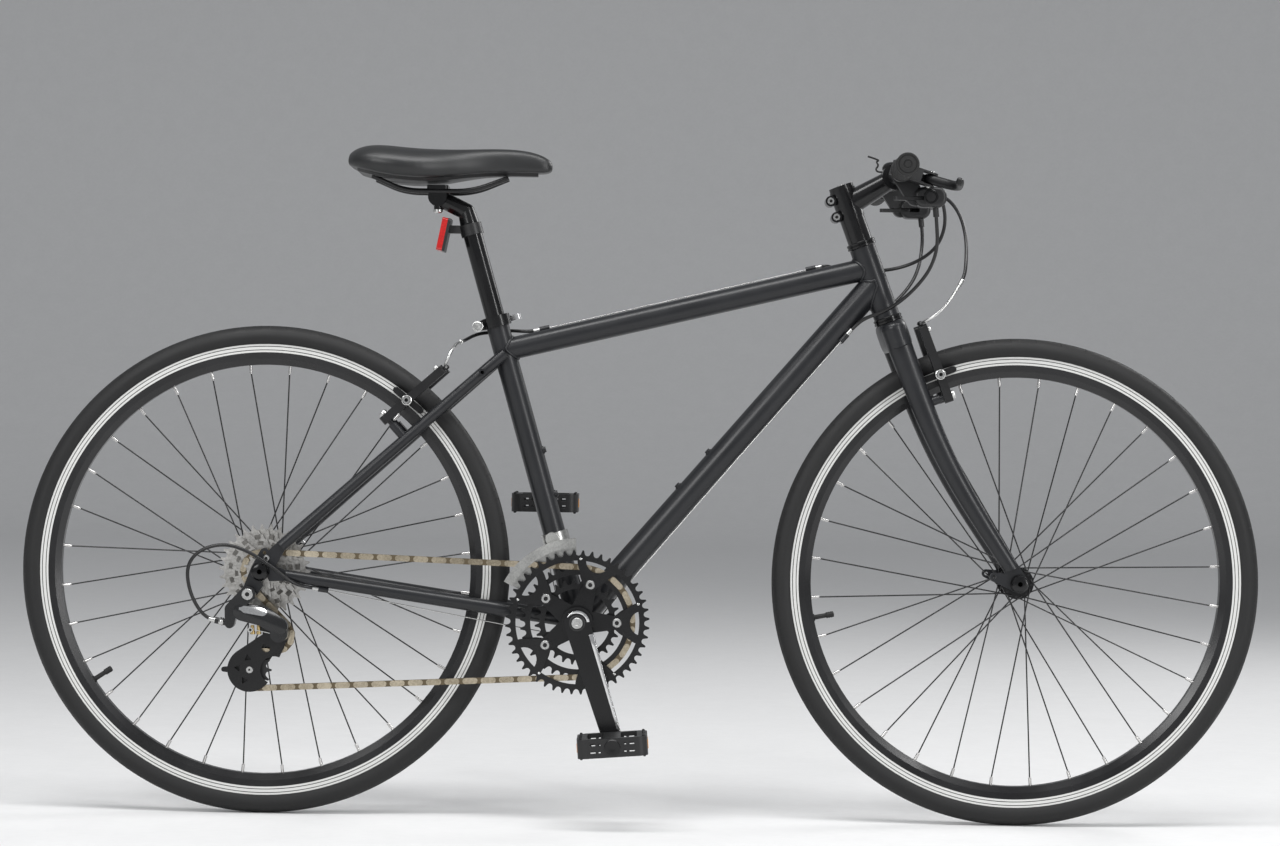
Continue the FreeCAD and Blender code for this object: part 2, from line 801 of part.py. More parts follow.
def ring_of(wires, centre):
    """A full ring from a closed cross-section, less any inner sections."""
    face = Part.Face(wires)
    return face.revolve(V(centre.x, 0, centre.z), LEFT, 360)


def tyre(centre):
    """The casing, open towards the rim, with its two beads, and the tube inside it."""
    section = tyre_width / 2
    middle = tyre_radius - section
    inner = section - casing
    bead_out = rim_well_half - bead_gap
    bead_in = bead_out - bead_thick
    low = bead_radius + bead_gap
    edge = rim_radius + bead_gap
    wall = math.sqrt(section * section - (middle - edge) ** 2)
    mouth = middle - math.sqrt(inner * inner - bead_in * bead_in)

    def at(y, radius):
        return V(centre.x, y, centre.z + radius)

    outer_arc = Part.Arc(at(wall, edge), at(0, tyre_radius), at(-wall, edge)).toShape()
    inner_arc = Part.Arc(at(-bead_in, mouth), at(0, middle + inner), at(bead_in, mouth)).toShape()
    edges = [
        outer_arc,
        Part.makeLine(at(-wall, edge), at(-bead_out, edge)),
        Part.makeLine(at(-bead_out, edge), at(-bead_out, low)),
        Part.makeLine(at(-bead_out, low), at(-bead_in, low)),
        Part.makeLine(at(-bead_in, low), at(-bead_in, mouth)),
        inner_arc,
        Part.makeLine(at(bead_in, mouth), at(bead_in, low)),
        Part.makeLine(at(bead_in, low), at(bead_out, low)),
        Part.makeLine(at(bead_out, low), at(bead_out, edge)),
        Part.makeLine(at(bead_out, edge), at(wall, edge)),
    ]
    return ring_of([Part.Wire(edges)], centre), middle, inner - fit_gap


def spoke_way(angle):
    """The outward direction at an angle in the wheel's plane, from the front, over the top."""
    turn = math.radians(angle)
    return V(math.cos(turn), 0, math.sin(turn))


def inner_tube(centre, middle, radius, valve_angle):
    """The soft tube that fills the casing, with its hollow valve through the rim."""
    turn = (V(centre.x, 0, centre.z), LEFT, 360)
    ring_at = V(centre.x, 0, centre.z + middle)
    outer = Part.Face(Part.Wire(Part.makeCircle(radius, ring_at, V(1, 0, 0)))).revolve(*turn)
    inner_radius = radius - tube_wall_soft
    inner = Part.Face(Part.Wire(Part.makeCircle(inner_radius, ring_at, V(1, 0, 0)))).revolve(*turn)
    way = spoke_way(valve_angle)
    tip = centre + way * (rim_inner - valve_length)
    stem = rod(tip, centre + way * (middle - inner_radius - tube_wall_soft / 2), valve_radius)
    bore = rod(tip, centre + way * middle, valve_bore)
    return cut(fuse([outer, stem]), [inner, bore]), tip


def rim(centre, valve_angle):
    """The box-section rim: well, two walls, hollow below, with holes for nipples and valve."""

    def at(y, radius):
        return V(centre.x, y, centre.z + radius)

    half, well = rim_half, rim_well_half
    waist = (rim_nose_half + rim_half) / 2
    knee = (rim_inner + track_low) / 2
    outline = [
        at(half, rim_radius),
        at(well, rim_radius),
        at(well, bead_radius),
        at(-well, bead_radius),
        at(-well, rim_radius),
        at(-half, rim_radius),
        at(-half, track_low),
        at(-waist - rim_wall, knee),
        at(-rim_nose_half, rim_inner),
        at(rim_nose_half, rim_inner),
        at(waist + rim_wall, knee),
        at(half, track_low),
    ]
    hollow = [
        at(well, bead_radius - rim_wall),
        at(-well, bead_radius - rim_wall),
        at(-well, track_low),
        at(-waist, knee),
        at(-rim_nose_half + rim_wall / 2, rim_inner + rim_wall),
        at(rim_nose_half - rim_wall / 2, rim_inner + rim_wall),
        at(waist, knee),
        at(well, track_low),
    ]
    ring = ring_of([Part.makePolygon(outline + outline[:1])], centre)
    space = ring_of([Part.makePolygon(hollow + hollow[:1])], centre)
    way = spoke_way(valve_angle)
    holes = [rod(centre + way * (rim_inner - rim_wall), centre + way * rim_radius,
                 valve_radius + valve_hole_gap)]
    for angle, side in spoke_seats(valve_angle):
        out = spoke_way(angle)
        start = centre + out * (rim_inner - rim_wall) + LEFT * side
        holes.append(rod(start, start + out * (4 * rim_wall), nipple_radius + nipple_gap))
    return cut(ring, [space] + holes)


def spoke_seats(valve_angle):
    """The angle and side of each nipple in the rim, with the valve between two of them."""
    step = 360.0 / spoke_count
    seats = []
    for n in range(spoke_count):
        flange = 1 if n % 2 else -1
        outer = 1 if (n // 2) % 2 else -1
        seats.append((valve_angle + step * (n + 0.5), flange * (rim_spoke_side + outer * rim_spoke_split)))
    return seats


def spokes(centre, flange_circle, flange_sides, valve_angle):
    """Every spoke with its elbow, head and nipple, crossing three others of its flange."""
    solids = []
    for n, (angle, rim_side) in enumerate(spoke_seats(valve_angle)):
        flange = 1 if n % 2 else -1
        outer = 1 if (n // 2) % 2 else -1
        flange_y = flange_sides[flange]
        hub_angle = angle + outer * spoke_cross_turn
        hole_at = centre + spoke_way(hub_angle) * flange_circle + LEFT * flange_y
        step_out = flange * outer * (flange_thick / 2 + elbow_out)
        elbow = hole_at + LEFT * step_out
        seat = centre + spoke_way(angle) * rim_inner + LEFT * rim_side
        way = (seat - elbow).normalize()
        way_in = spoke_way(angle)
        nipple_low = seat - way_in * nipple_length
        head_at = hole_at - LEFT * (flange * outer * (flange_thick / 2))
        head_out = head_at - LEFT * (flange * outer * spoke_head_thick)
        parts = [
            rod(elbow, nipple_low, spoke_radius),
            Part.makeSphere(spoke_radius, elbow),
            rod(elbow, head_at, spoke_radius),
            rod(head_at, head_out, spoke_head),
            rod(nipple_low, seat + way_in * rim_wall, nipple_radius),
            rod(seat + way_in * (rim_wall + nipple_gap), seat + way_in * (rim_wall + nipple_head_rise),
                nipple_head),
            rod(seat, seat + way_in * (rim_wall + nipple_gap), nipple_radius),
        ]
        solids.append(fuse(parts))
    return solids


def hub(centre, flange_circle, flange_sides, ends, axle, valve_angle, spoke_solids):
    """The hub shell: two flanges with spoke holes on a slim barrel, bored for the axle."""
    bore = axle + running_gap
    rim_of_flange = flange_circle + flange_lip
    half = flange_thick / 2
    right, left = flange_sides[-1], flange_sides[1]
    profile = [
        (ends[0], bore),
        (ends[0], shell_radius),
        (right - half, shell_radius),
        (right - half, rim_of_flange),
        (right + half, rim_of_flange),
        (right + half, shell_radius),
        (left - half, shell_radius),
        (left - half, rim_of_flange),
        (left + half, rim_of_flange),
        (left + half, shell_radius),
        (ends[1], shell_radius),
        (ends[1], bore),
    ]
    holes = []
    for n, (angle, _) in enumerate(spoke_seats(valve_angle)):
        flange = 1 if n % 2 else -1
        outer = 1 if (n // 2) % 2 else -1
        middle = centre + spoke_way(angle + outer * spoke_cross_turn) * flange_circle
        middle = middle + LEFT * flange_sides[flange]
        holes.append(rod(middle - LEFT * flange_thick, middle + LEFT * flange_thick, spoke_hole))
    return cut(hub_turned(profile, centre), holes + spoke_solids)


def wheel(name, centre, flange_circle, flange_sides, ends, axle, valve_angle):
    """All the pieces of one wheel."""
    cover, middle, inside = tyre(centre)
    tube, tip = inner_tube(centre, middle, inside, valve_angle)
    keep(name + "_tyre", cover, tube)
    keep(name + "_rim", rim(centre, valve_angle))
    spoke_solids = spokes(centre, flange_circle, flange_sides, valve_angle)
    keep(name + "_spokes", *spoke_solids)
    keep(name + "_hub", hub(centre, flange_circle, flange_sides, ends, axle, valve_angle, spoke_solids))


front_sides = {1: front_flange_side, -1: -front_flange_side}
rear_sides = {1: rear_flange_left, -1: -rear_flange_right}
front_end = front_spacing / 2 - cone_length - hub_end_gap
rear_left_end = rear_spacing / 2 - cone_length - hub_end_gap
rear_right_end = rear_flange_right + flange_thick / 2 + hub_end_gap / 2
wheel("front", front_axle_at, front_flange_circle, front_sides, (-front_end, front_end),
      front_axle_radius, front_valve_angle)
wheel("rear", rear_axle_at, rear_flange_circle, rear_sides, (-rear_right_end, rear_left_end),
      axle_radius, rear_valve_angle)

# Axles with their cones, locknuts and quick release skewers
acorn_radius = 8.0
acorn_length = 12.0
cam_radius = 9.0
cam_length = 12.0
qr_lever_length = 52.0
qr_lever_thick = 10.0
qr_lever_round = 6.0
qr_lever_tip = 5.0
qr_lever_out = 11.0
qr_lever_rise = 5.0
fork_plate = 6.0


def axle_set(name, centre, spacing, radius, thick):
    """An axle with its cones, the skewer's nut on the right and its cam on the left."""
    half = spacing / 2
    stub = half + axle_stub
    outer = half + thick
    profile = [
        (-outer - acorn_length, 0.0),
        (-outer - acorn_length, acorn_radius / 2),
        (-outer - acorn_length / 2, acorn_radius),
        (-outer, acorn_radius),
        (-outer, skewer_radius - running_gap),
        (-stub, skewer_radius - running_gap),
        (-stub, radius),
        (-half, radius),
        (-half, cone_radius),
        (-half + cone_length, cone_radius),
        (-half + cone_length, radius),
        (half - cone_length, radius),
        (half - cone_length, cone_radius),
        (half, cone_radius),
        (half, radius),
        (stub, radius),
        (stub, skewer_radius - running_gap),
        (outer, skewer_radius - running_gap),
        (outer, cam_radius),
        (outer + cam_length, cam_radius),
        (outer + cam_length, 0.0),
    ]
    keep(name, hub_turned(profile, centre))
    return centre + LEFT * (outer + cam_length)


def qr_lever(name, pivot, along):
    """A quick release lever, folded in along its stay or fork blade."""
    lift = along.cross(LEFT)
    place = frame_at(pivot - lift * (qr_lever_thick / 2), along, LEFT)
    foot = (0.0, qr_lever_round + fit_gap)
    mid = (qr_lever_length / 2, qr_lever_out)
    tip = (qr_lever_length, qr_lever_out - qr_lever_rise)
    first = link_plate(foot, qr_lever_round, mid, qr_lever_tip, qr_lever_thick, place)
    second = link_plate(mid, qr_lever_tip, tip, qr_lever_tip, qr_lever_thick, place)
    keep(name, fuse([first, second]))


rear_cam = axle_set("rear_axle", rear_axle_at, rear_spacing, axle_radius, dropout_thick)
front_cam = axle_set("front_axle", front_axle_at, front_spacing, front_axle_radius, fork_plate)
qr_lever("rear_qr_lever", rear_cam, stay_up)
qr_lever("front_qr_lever", front_cam, steer_up)

# Fork: steerer and crown, two curved oval blades with flat tips, and a brake post on each
crown_height = 36.0
crown_side = 42.0
crown_half = 18.0
crown_round = 10.0
blade_tip_up = 22.0
blade_top_half = 17.5
blade_tip_half = 11.0
blade_top_side = 13.0
blade_tip_side = 8.0
blade_wall = 2.0
steerer_top = 196.0
steerer_wall = 2.5
tip_round = 13.0
tip_eyelet_back = 35.0
tip_eyelet_high = 9.0
tip_eyelet_round = 6.0
tip_slot_drop = 24.0
front_brake_up = -128.4
front_brake_out = 39.4
blade_shares = (0.0, 0.25, 0.5, 0.75, 1.0)
rake_shares = (0.0, 0.03, 0.17, 0.50, 0.93)

crown_low = -cup_height / 2 - running_gap - crown_height
blade_low = blade_tip_up - fork_length
tip_y = front_spacing / 2 + fork_plate / 2


def blade(side):
    """One blade: oval sections along a gently raked line, with its flat tip and brake post."""
    sections = []
    for share, rake in zip(blade_shares, rake_shares):
        up = crown_low + (blade_low - crown_low) * share
        half = blade_top_half + (blade_tip_half - blade_top_half) * share
        wide = blade_top_side + (blade_tip_side - blade_top_side) * share
        out = crown_side + (tip_y - crown_side) * share
        sections.append(oval(on_steer(up, fork_rake * rake, side * out), steer_ahead, LEFT, half, wide))
    body = Part.makeLoft(sections, True)
    y_from = tip_y - fork_plate / 2 if side > 0 else -tip_y - fork_plate / 2
    y_to = y_from + fork_plate
    axle = (front_axle_x, axle_z)
    end = on_steer(blade_low, fork_rake * rake_shares[-1])
    eyelet = (front_axle_x - tip_eyelet_back, axle_z + tip_eyelet_high)
    tip = [
        side_plate(axle, tip_round, (end.x, end.z), blade_tip_half, y_from, y_to),
        side_plate(axle, tip_round, eyelet, tip_eyelet_round, y_from, y_to),
    ]
    slot_end = front_axle_at - steer_up * tip_slot_drop
    slot_half = front_axle_radius + slot_gap
    slot = side_plate(axle, slot_half, (slot_end.x, slot_end.z), slot_half, y_from, y_to)
    pivot = on_steer(front_brake_up, 0, side * brake_pivot_y)
    foot = rod(pivot, pivot + steer_ahead * boss_foot_rise, boss_foot)
    post = rod(pivot, pivot + steer_ahead * (front_brake_out + brake_arm_thick / 2), boss_radius)
    holes = [across(eyelet, eyelet_hole, y_from, y_to), slot]
    whole = fuse([body] + tip + [foot, post])
    return main_solid(cut(whole, holes))


def fork():
    """The crown with its steerer, and both blades."""
    low = on_steer(crown_low)
    flat = frame_at(low, LEFT, steer_ahead * -1)
    crown = link_plate((-crown_side, 0), crown_half, (crown_side, 0), crown_half, crown_height, flat)
    upper = [edge for edge in crown.Edges
             if all((v.Point - low).dot(steer_up) > crown_height / 2 for v in edge.Vertexes)]
    crown = crown.makeFillet(crown_round, upper)
    steerer = rod(on_steer(crown_low + crown_height / 2), on_steer(steerer_top), steerer_od / 2)
    hole = rod(on_steer(crown_low), on_steer(steerer_top), steerer_od / 2 - steerer_wall)
    keep("fork", cut(fuse([crown, steerer]), [hole]), blade(1), blade(-1))


fork()

# Cockpit: spacers and cap on the steerer, stem with its faceplate, handlebar and grips
spacer_radius = 17.5
stem_low = 152.0
stem_high = 194.0
stem_clamp_radius = 18.5
cap_thick = 4.0
stem_reach_up = 40.0
stem_reach_ahead = 66.5
stem_root = 172.0
stem_neck = 17.5
stem_nose = 13.0
bar_clamp_radius = 19.0
bar_clamp_half = 22.0
faceplate_gap = 1.5
bar_od = 25.4
bar_thin_od = 22.2
bar_wall = 2.0
bar_half = 290.0
bar_centre_half = 52.0
bar_taper_half = 84.0
bar_back = 6.0
bar_drop = 5.0
grip_radius = 15.5
grip_length = 122.0
grip_end_gap = 0.6
grip_end_radius = 16.5
grip_flange = 4.0
pinch_radius = 7.5
pinch_back = 21.0
pinch_half = 15.0
pinch_spread = 12.0

stem_mid = on_steer(stem_root)
bar_at = stem_mid + V(stem_reach_ahead, 0, stem_reach_up)
stem_run = (bar_at - stem_mid).normalize()


def bar_point(y):
    """The middle of the handlebar at a distance to the side."""
    share = max(0.0, (abs(y) - bar_centre_half) / (bar_half - bar_centre_half))
    return bar_at + V(-bar_back * share, y, -bar_drop * share)


def stem():
    """The stem's body, its faceplate, and the spacers and cap that set its height."""
    upper_cup = cup_height / 2 + head_tube_length + cup_height
    low = on_steer(upper_cup + running_gap)
    spacers = rod(low, on_steer(stem_low), spacer_radius)
    steerer_bore = rod(low, on_steer(stem_high), steerer_od / 2)
    cap_low = on_steer(max(stem_high, steerer_top))
    cap = rod(cap_low, cap_low + steer_up * cap_thick, spacer_radius)
    lip = rod(on_steer(stem_high), cap_low, spacer_radius)
    lip = cut(lip, [rod(on_steer(stem_high), cap_low, steerer_od / 2)])
    keep("headset_spacers", cut(spacers, [steerer_bore]), fuse([cap, lip]))
    clamp = rod(on_steer(stem_low), on_steer(stem_high), stem_clamp_radius)
    neck = taper(stem_mid, bar_at, stem_neck, stem_nose)
    ring = rod(bar_at - LEFT * bar_clamp_half, bar_at + LEFT * bar_clamp_half, bar_clamp_radius)
    pinch = []
    for step in (1, -1):
        middle = on_steer(stem_root + step * pinch_spread, -pinch_back)
        pinch.append(rod(middle - LEFT * pinch_half, middle + LEFT * pinch_half, pinch_radius))
    bar_bore = rod(bar_at - LEFT * bar_clamp_half, bar_at + LEFT * bar_clamp_half, bar_od / 2)
    steerer_hole = rod(on_steer(stem_low), on_steer(stem_high), steerer_od / 2)
    whole = cut(fuse([clamp, neck, ring] + pinch), [bar_bore, steerer_hole])
    size = 4 * bar_clamp_radius
    block = Part.makeBox(size, size, size)
    ahead = frame_at(bar_at + stem_run * faceplate_gap - LEFT * (size / 2), stem_run, LEFT)
    block.Placement = ahead
    block.translate(ahead.Rotation.multVec(V(0, 0, -size / 2)))
    thick = block.copy()
    thick.translate(stem_run * (-faceplate_gap))
    keep("stem", main_solid(cut(whole, [thick])), main_solid(whole.common(block)))


def bar_skin(inset):
    """The bar's surface, lofted through the circles at its steps and set in by an amount."""
    rings = []
    for reach in (-bar_half, -bar_taper_half, -bar_centre_half, bar_centre_half, bar_taper_half, bar_half):
        radius = bar_od / 2 if abs(reach) <= bar_centre_half else bar_thin_od / 2
        rings.append(Part.Wire([Part.makeCircle(radius - inset, bar_point(reach), LEFT)]))
    return Part.makeLoft(rings, True, True)


def handlebar():
    """A nearly straight bar, stepped down from the clamp to the grips, hollow inside."""
    keep("handlebar", main_solid(cut(bar_skin(0), [bar_skin(bar_wall)])))


def grips():
    """Two rubber grips, each with a small inner flange and a closed end."""
    solids = []
    for side in (1, -1):
        start = bar_point(side * (bar_half - grip_length))
        end = bar_point(side * bar_half)
        run = (end - start).normalize()
        tip = end + run * grip_flange
        body = fuse([rod(start, tip, grip_radius), rod(start, start + run * grip_flange, grip_end_radius)])
        solids.append(cut(body, [rod(start, end + run * grip_end_gap, bar_thin_od / 2)]))
    keep("grips", *solids)


stem()
handlebar()
grips()

# Controls on each side: a clamped perch with a hinged brake lever, and a gear pod with its trigger
perch_gap = 18.0
perch_y = bar_half - grip_length - perch_gap
perch_half = 9.0
perch_radius = 15.5
lever_dip = 17.0
lever_pivot_reach = 40.0
perch_nose_round = 9.0
perch_thick = 20.0
brake_pin_radius = 2.5
lever_blade_thick = 14.0
lever_knee = (78.0, 26.0)
lever_finger = (72.0, 96.0)
lever_root_round = 7.0
lever_knee_round = 5.5
lever_finger_round = 5.0
fork_slot_gap = 0.4
barrel_radius = 4.5
barrel_reach = 34.0
barrel_in = 26.0
boss_in = 17.0
boss_round = 6.5
boss_thick = 10.0
pod_spacing = 28.0
pod_y = perch_y - pod_spacing
pod_half = 15.0
pod_ahead = 41.0
pod_low = 35.0
pod_length = 44.0
pod_height = 28.0
pod_round = 12.5
pod_edge_round = 5.0
pod_arm_round = 12.0
pod_clamp_radius = 14.5
pod_cable_in = 6.0
pod_barrel_ahead = 8.0
pod_barrel_sink = 4.0
pod_barrel_length = 16.0
pod_barrel_radius = 4.0
pod_way_shares = (0.10, 0.16, 0.98)
trigger_pivot = (30.0, -37.0)
trigger_reach = 34.0
trigger_round = 7.5
trigger_tip_round = 5.5
trigger_thick = 5.0
trigger_pin_radius = 2.5

lever_out = V(math.cos(math.radians(lever_dip)), 0, -math.sin(math.radians(lever_dip)))
lever_axis = V(-lever_out.z, 0, lever_out.x)


def lever_place(side, lift):
    """The plane in which a brake lever swings: ahead of the bar, and outwards along it."""
    return frame_at(bar_point(side * perch_y) - lever_axis * (side * lift), lever_out, LEFT * side)


def perch(side):
    """The clamp round the bar and the nose that carries the lever's pin and the cable barrel."""
    at = bar_point(side * perch_y)
    run = (bar_point(side * bar_half) - bar_point(side * bar_taper_half)).normalize() * side
    clamp = rod(at - run * perch_half, at + run * perch_half, perch_radius)
    nose = link_plate((0, 0), perch_radius - fit_gap, (lever_pivot_reach, 0), perch_nose_round, perch_thick,
                      lever_place(side, perch_thick / 2))
    barrel_at = at + lever_out * barrel_reach
    barrel = rod(barrel_at - LEFT * (side * boss_in), barrel_at - LEFT * (side * barrel_in), barrel_radius)
    boss = link_plate((0, 0), perch_radius - fit_gap, (barrel_reach, -boss_in), boss_round, boss_thick,
                      lever_place(side, boss_thick / 2))
    pivot = at + lever_out * lever_pivot_reach
    slot_half = lever_blade_thick / 2 + fork_slot_gap
    slot = rod(pivot - lever_axis * slot_half, pivot + lever_axis * slot_half,
               lever_root_round + perch_nose_round)
    bar_hole = rod(at - run * bar_half / 4, at + run * bar_half / 4, bar_thin_od / 2)
    wire = rod(barrel_at, barrel_at - LEFT * (side * 2 * barrel_in), inner_wire + wire_gap)
    body = fuse([cut(nose, [slot]), boss, barrel, clamp])
    pin = rod(pivot - lever_axis * (perch_thick / 2), pivot + lever_axis * (perch_thick / 2),
              brake_pin_radius)
    return main_solid(cut(fuse([body, pin]), [bar_hole, wire])), pivot


def brake_lever(name, side, pivot):
    """The bent blade that two fingers draw towards the grip."""
    place = lever_place(side, lever_blade_thick / 2)
    root = (lever_pivot_reach, 0.0)
    first = link_plate(root, lever_root_round, lever_knee, lever_knee_round, lever_blade_thick, place)
    second = link_plate(lever_knee, lever_knee_round, lever_finger, lever_finger_round, lever_blade_thick,
                        place)
    hole = rod(pivot - lever_axis * perch_thick, pivot + lever_axis * perch_thick,
               brake_pin_radius + running_gap)
    keep(name, cut(fuse([first, second]), [hole]))


def pod_way(side):
    """The direction in which a gear housing leaves its pod: down, and a little ahead and inwards."""
    ahead, inward, down = pod_way_shares
    return V(ahead, -side * inward, -down).normalize()


def pod_face(side):
    """The place under a pod's front where its cable barrel is screwed in."""
    low = pod_low + pod_height / 2 - pod_barrel_sink
    return bar_point(side * pod_y) + V(pod_ahead + pod_barrel_ahead, -side * pod_cable_in, -low)


def pod(side):
    """The gear pod hung below the bar from its own clamp, with a slot and a pin for the trigger."""
    at = bar_point(side * pod_y)
    box = Part.makeBox(pod_length, 2 * pod_half, pod_height)
    box = box.makeFillet(pod_round, [e for e in box.Edges if abs(e.tangentAt(e.FirstParameter).y) > 0.5])
    sides = [f for f in box.Faces if abs(f.normalAt(0, 0).y) > 0.5]
    box = box.makeFillet(pod_edge_round, [e for f in sides for e in f.Edges])
    box.translate(at + V(pod_ahead - pod_length / 2, -pod_half, -pod_low - pod_height / 2))
    arm = side_plate((at.x, at.z), pod_clamp_radius, (at.x + pod_ahead / 2, at.z - pod_low), pod_arm_round,
                     at.y - pod_half / 2, at.y + pod_half / 2)
    pin_at = at + V(trigger_pivot[0], 0, trigger_pivot[1])
    half = trigger_thick / 2 + fit_gap
    slot = rod(pin_at - V(0, 0, half), pin_at + V(0, 0, half), pod_half + trigger_round)
    open_side = Part.makeBox(pod_length, 3 * pod_half, 2 * half)
    open_side.translate(pin_at + V(-pod_length, -1.5 * pod_half, -half))
    pin = rod(pin_at - V(0, 0, pod_height / 3), pin_at + V(0, 0, pod_height / 3), trigger_pin_radius)
    run = (bar_point(side * bar_half) - bar_point(side * bar_taper_half)).normalize() * side
    bar_hole = rod(at - run * pod_half, at + run * pod_half, bar_thin_od / 2)
    whole = cut(fuse([box, arm]), [open_side, slot, bar_hole])
    barrel_start = pod_face(side)
    barrel = rod(barrel_start, barrel_start + pod_way(side) * pod_barrel_length, pod_barrel_radius)
    return main_solid(fuse([whole, pin, barrel])), pin_at


def trigger(name, side, pin_at):
    """The thumb lever that turns on the pod's pin."""
    low = pin_at - V(0, 0, trigger_thick / 2)
    place = frame_at(low, V(-1, 0, 0), RIGHT)
    tip = (trigger_reach, -side * trigger_round / 2)
    blade_plate = link_plate((0, 0), trigger_round, tip, trigger_tip_round, trigger_thick, place)
    hole = rod(pin_at - V(0, 0, pod_height), pin_at + V(0, 0, pod_height), trigger_pin_radius + running_gap)
    keep(name, cut(blade_plate, [hole]))


def controls():
    """Both perches and pods as one group, and their four levers."""
    bodies = []
    for name, side in (("left", 1), ("right", -1)):
        perch_body, pivot = perch(side)
        pod_body, pin_at = pod(side)
        bodies += [perch_body, pod_body]
        brake_lever(name + "_brake_lever", side, pivot)
        trigger(name + "_shift_trigger", side, pin_at)
    keep("control_bodies", *bodies)


controls()

# Rim brakes: on each post a swinging arm with its shoe, front and rear
arm_length = 100.0
arm_low_round = 9.0
arm_mid_round = 7.0
arm_top_round = 6.0
arm_mid_up = 45.0
arm_mid_out = 3.0
arm_top_in = 4.0
pad_gap = 2.0
pad_thick = 8.0
pad_half = 22.0
pad_round = 4.5
shoe_thick = 3.5
shoe_bolt = 3.5
track_middle = 311.5


def brake_arm(name, pivot, up, out, side, pad_up, axle):
    """One arm on its post, with the rubber block, its holder and its bolt."""
    outward = LEFT * side
    facing = 1 if outward.cross(up).dot(out) > 0 else -1
    place = frame_at(pivot - out * (facing * brake_arm_thick / 2), outward, up)
    mid = (arm_mid_out, arm_mid_up)
    top = (-arm_top_in, arm_length)
    lower = link_plate((0, 0), arm_low_round, mid, arm_mid_round, brake_arm_thick, place)
    upper = link_plate(mid, arm_mid_round, top, arm_top_round, brake_arm_thick, place)
    hole = rod(pivot - out * brake_arm_thick, pivot + out * brake_arm_thick, boss_radius + running_gap)
    arm = cut(fuse([lower, upper]), [hole])
    face_y = rim_half + pad_gap
    pad_at = pivot + up * pad_up + outward * (face_y - brake_pivot_y)
    radial = (pad_at - axle - LEFT * pad_at.y).normalize()
    tangent = (out - radial * out.dot(radial)).normalize()
    flat = frame_at(pad_at, tangent, radial)
    ends = ((-pad_half, 0), pad_round, (pad_half, 0), pad_round)
    rubber = link_plate(*ends, -facing * pad_thick, flat)
    holder_flat = frame_at(pad_at + outward * pad_thick, tangent, radial)
    inner_ends = ((-pad_half + pad_round, 0), pad_round - fit_gap, (pad_half - pad_round, 0),
                  pad_round - fit_gap)
    holder = link_plate(*inner_ends, -facing * shoe_thick, holder_flat)
    bolt_in = pad_at + outward * (pad_thick + shoe_thick / 2)
    bolt_out = pad_at + outward * (brake_pivot_y - face_y + arm_low_round + shoe_thick)
    bolt = rod(bolt_in, bolt_out, shoe_bolt)
    keep(name, fuse([arm, holder, bolt]), rubber)


def brakes():
    """Four arms, each with its shoe on the middle of the rim's braking track."""
    front_pad = math.sqrt(track_middle ** 2 - (front_brake_out - fork_rake) ** 2) - fork_length
    rear_line = (rear_axle_at - seat_stay_foot).dot(stay_out)
    rear_base = (rear_axle_at - seat_stay_foot).dot(stay_up)
    rear_pad = math.sqrt(track_middle ** 2 - (rear_brake_out - rear_line) ** 2) + rear_base
    for name, side in (("left", 1), ("right", -1)):
        front = on_steer(front_brake_up, front_brake_out, side * brake_pivot_y)
        brake_arm("front_brake_arm_" + name, front, steer_up, steer_ahead, side, front_pad - front_brake_up,
                  front_axle_at)
        rear = on_stay(rear_brake_up, rear_brake_out, side * brake_pivot_y)
        brake_arm("rear_brake_arm_" + name, rear, stay_up, stay_out, side, rear_pad - rear_brake_up,
                  rear_axle_at)


brakes()

# Drive: sprockets cut to one chain pitch, cranks and pedals, the chain, and both derailleurs
pitch = 12.7
roller_radius = 3.87
roller_gap = 0.08
tooth_rise = 3.4
tooth_tip_share = 0.16
seat_half_turn = 58.0
sprocket_thick = 1.9
chain_y = -50.0
ring_teeth = (48, 38, 28)
ring_step = 7.0
cog_teeth = (11, 13, 15, 17, 20, 23, 26, 30)
cog_step = 4.8
ring_in_use = 1
cog_in_use = 1
guide_teeth = 11
tension_teeth = 13
pulley_boss = 6.0
pulley_bore = 3.0
freehub_radius = 17.0
lock_length = 4.0
ring_band = 11.0
bolt_circle = 55.0
small_circle = 36.0
small_tab = 7.0
small_post = 4.0
tab_fan_shares = (3.3, 2.2, 2.2)
tab_window = 17.0
tab_window_in = 7.0
spider_arms = 5
spider_hub = 22.0
spider_arm_half = 9.0
ring_circles = (bolt_circle, bolt_circle, small_circle)
ring_tabs = (spider_arm_half, spider_arm_half, small_tab)
crank_length = 170.0
crank_angle = -72.0
crank_inner = 66.0
crank_thick = 14.0
crank_root = 18.0
crank_tip = 13.5
spindle_end = 8.0
pedal_axle_radius = 5.0
pedal_gap = 6.0
pedal_half = 48.0
pedal_width = 92.0
pedal_thick = 26.0
pedal_bar = 14.0
pedal_side = 10.0
pedal_barrel = 12.0
pedal_corner = 14.0
slot_rise = 5.0
slot_height = 4.0
slot_rows = ((26.5, 7.0), (17.5, 3.0))
right_pedal_tilt = 4.5


def pitch_radius(teeth):
    """The radius on which a sprocket's chain pins run."""
    return pitch / 2 / math.sin(math.pi / teeth)


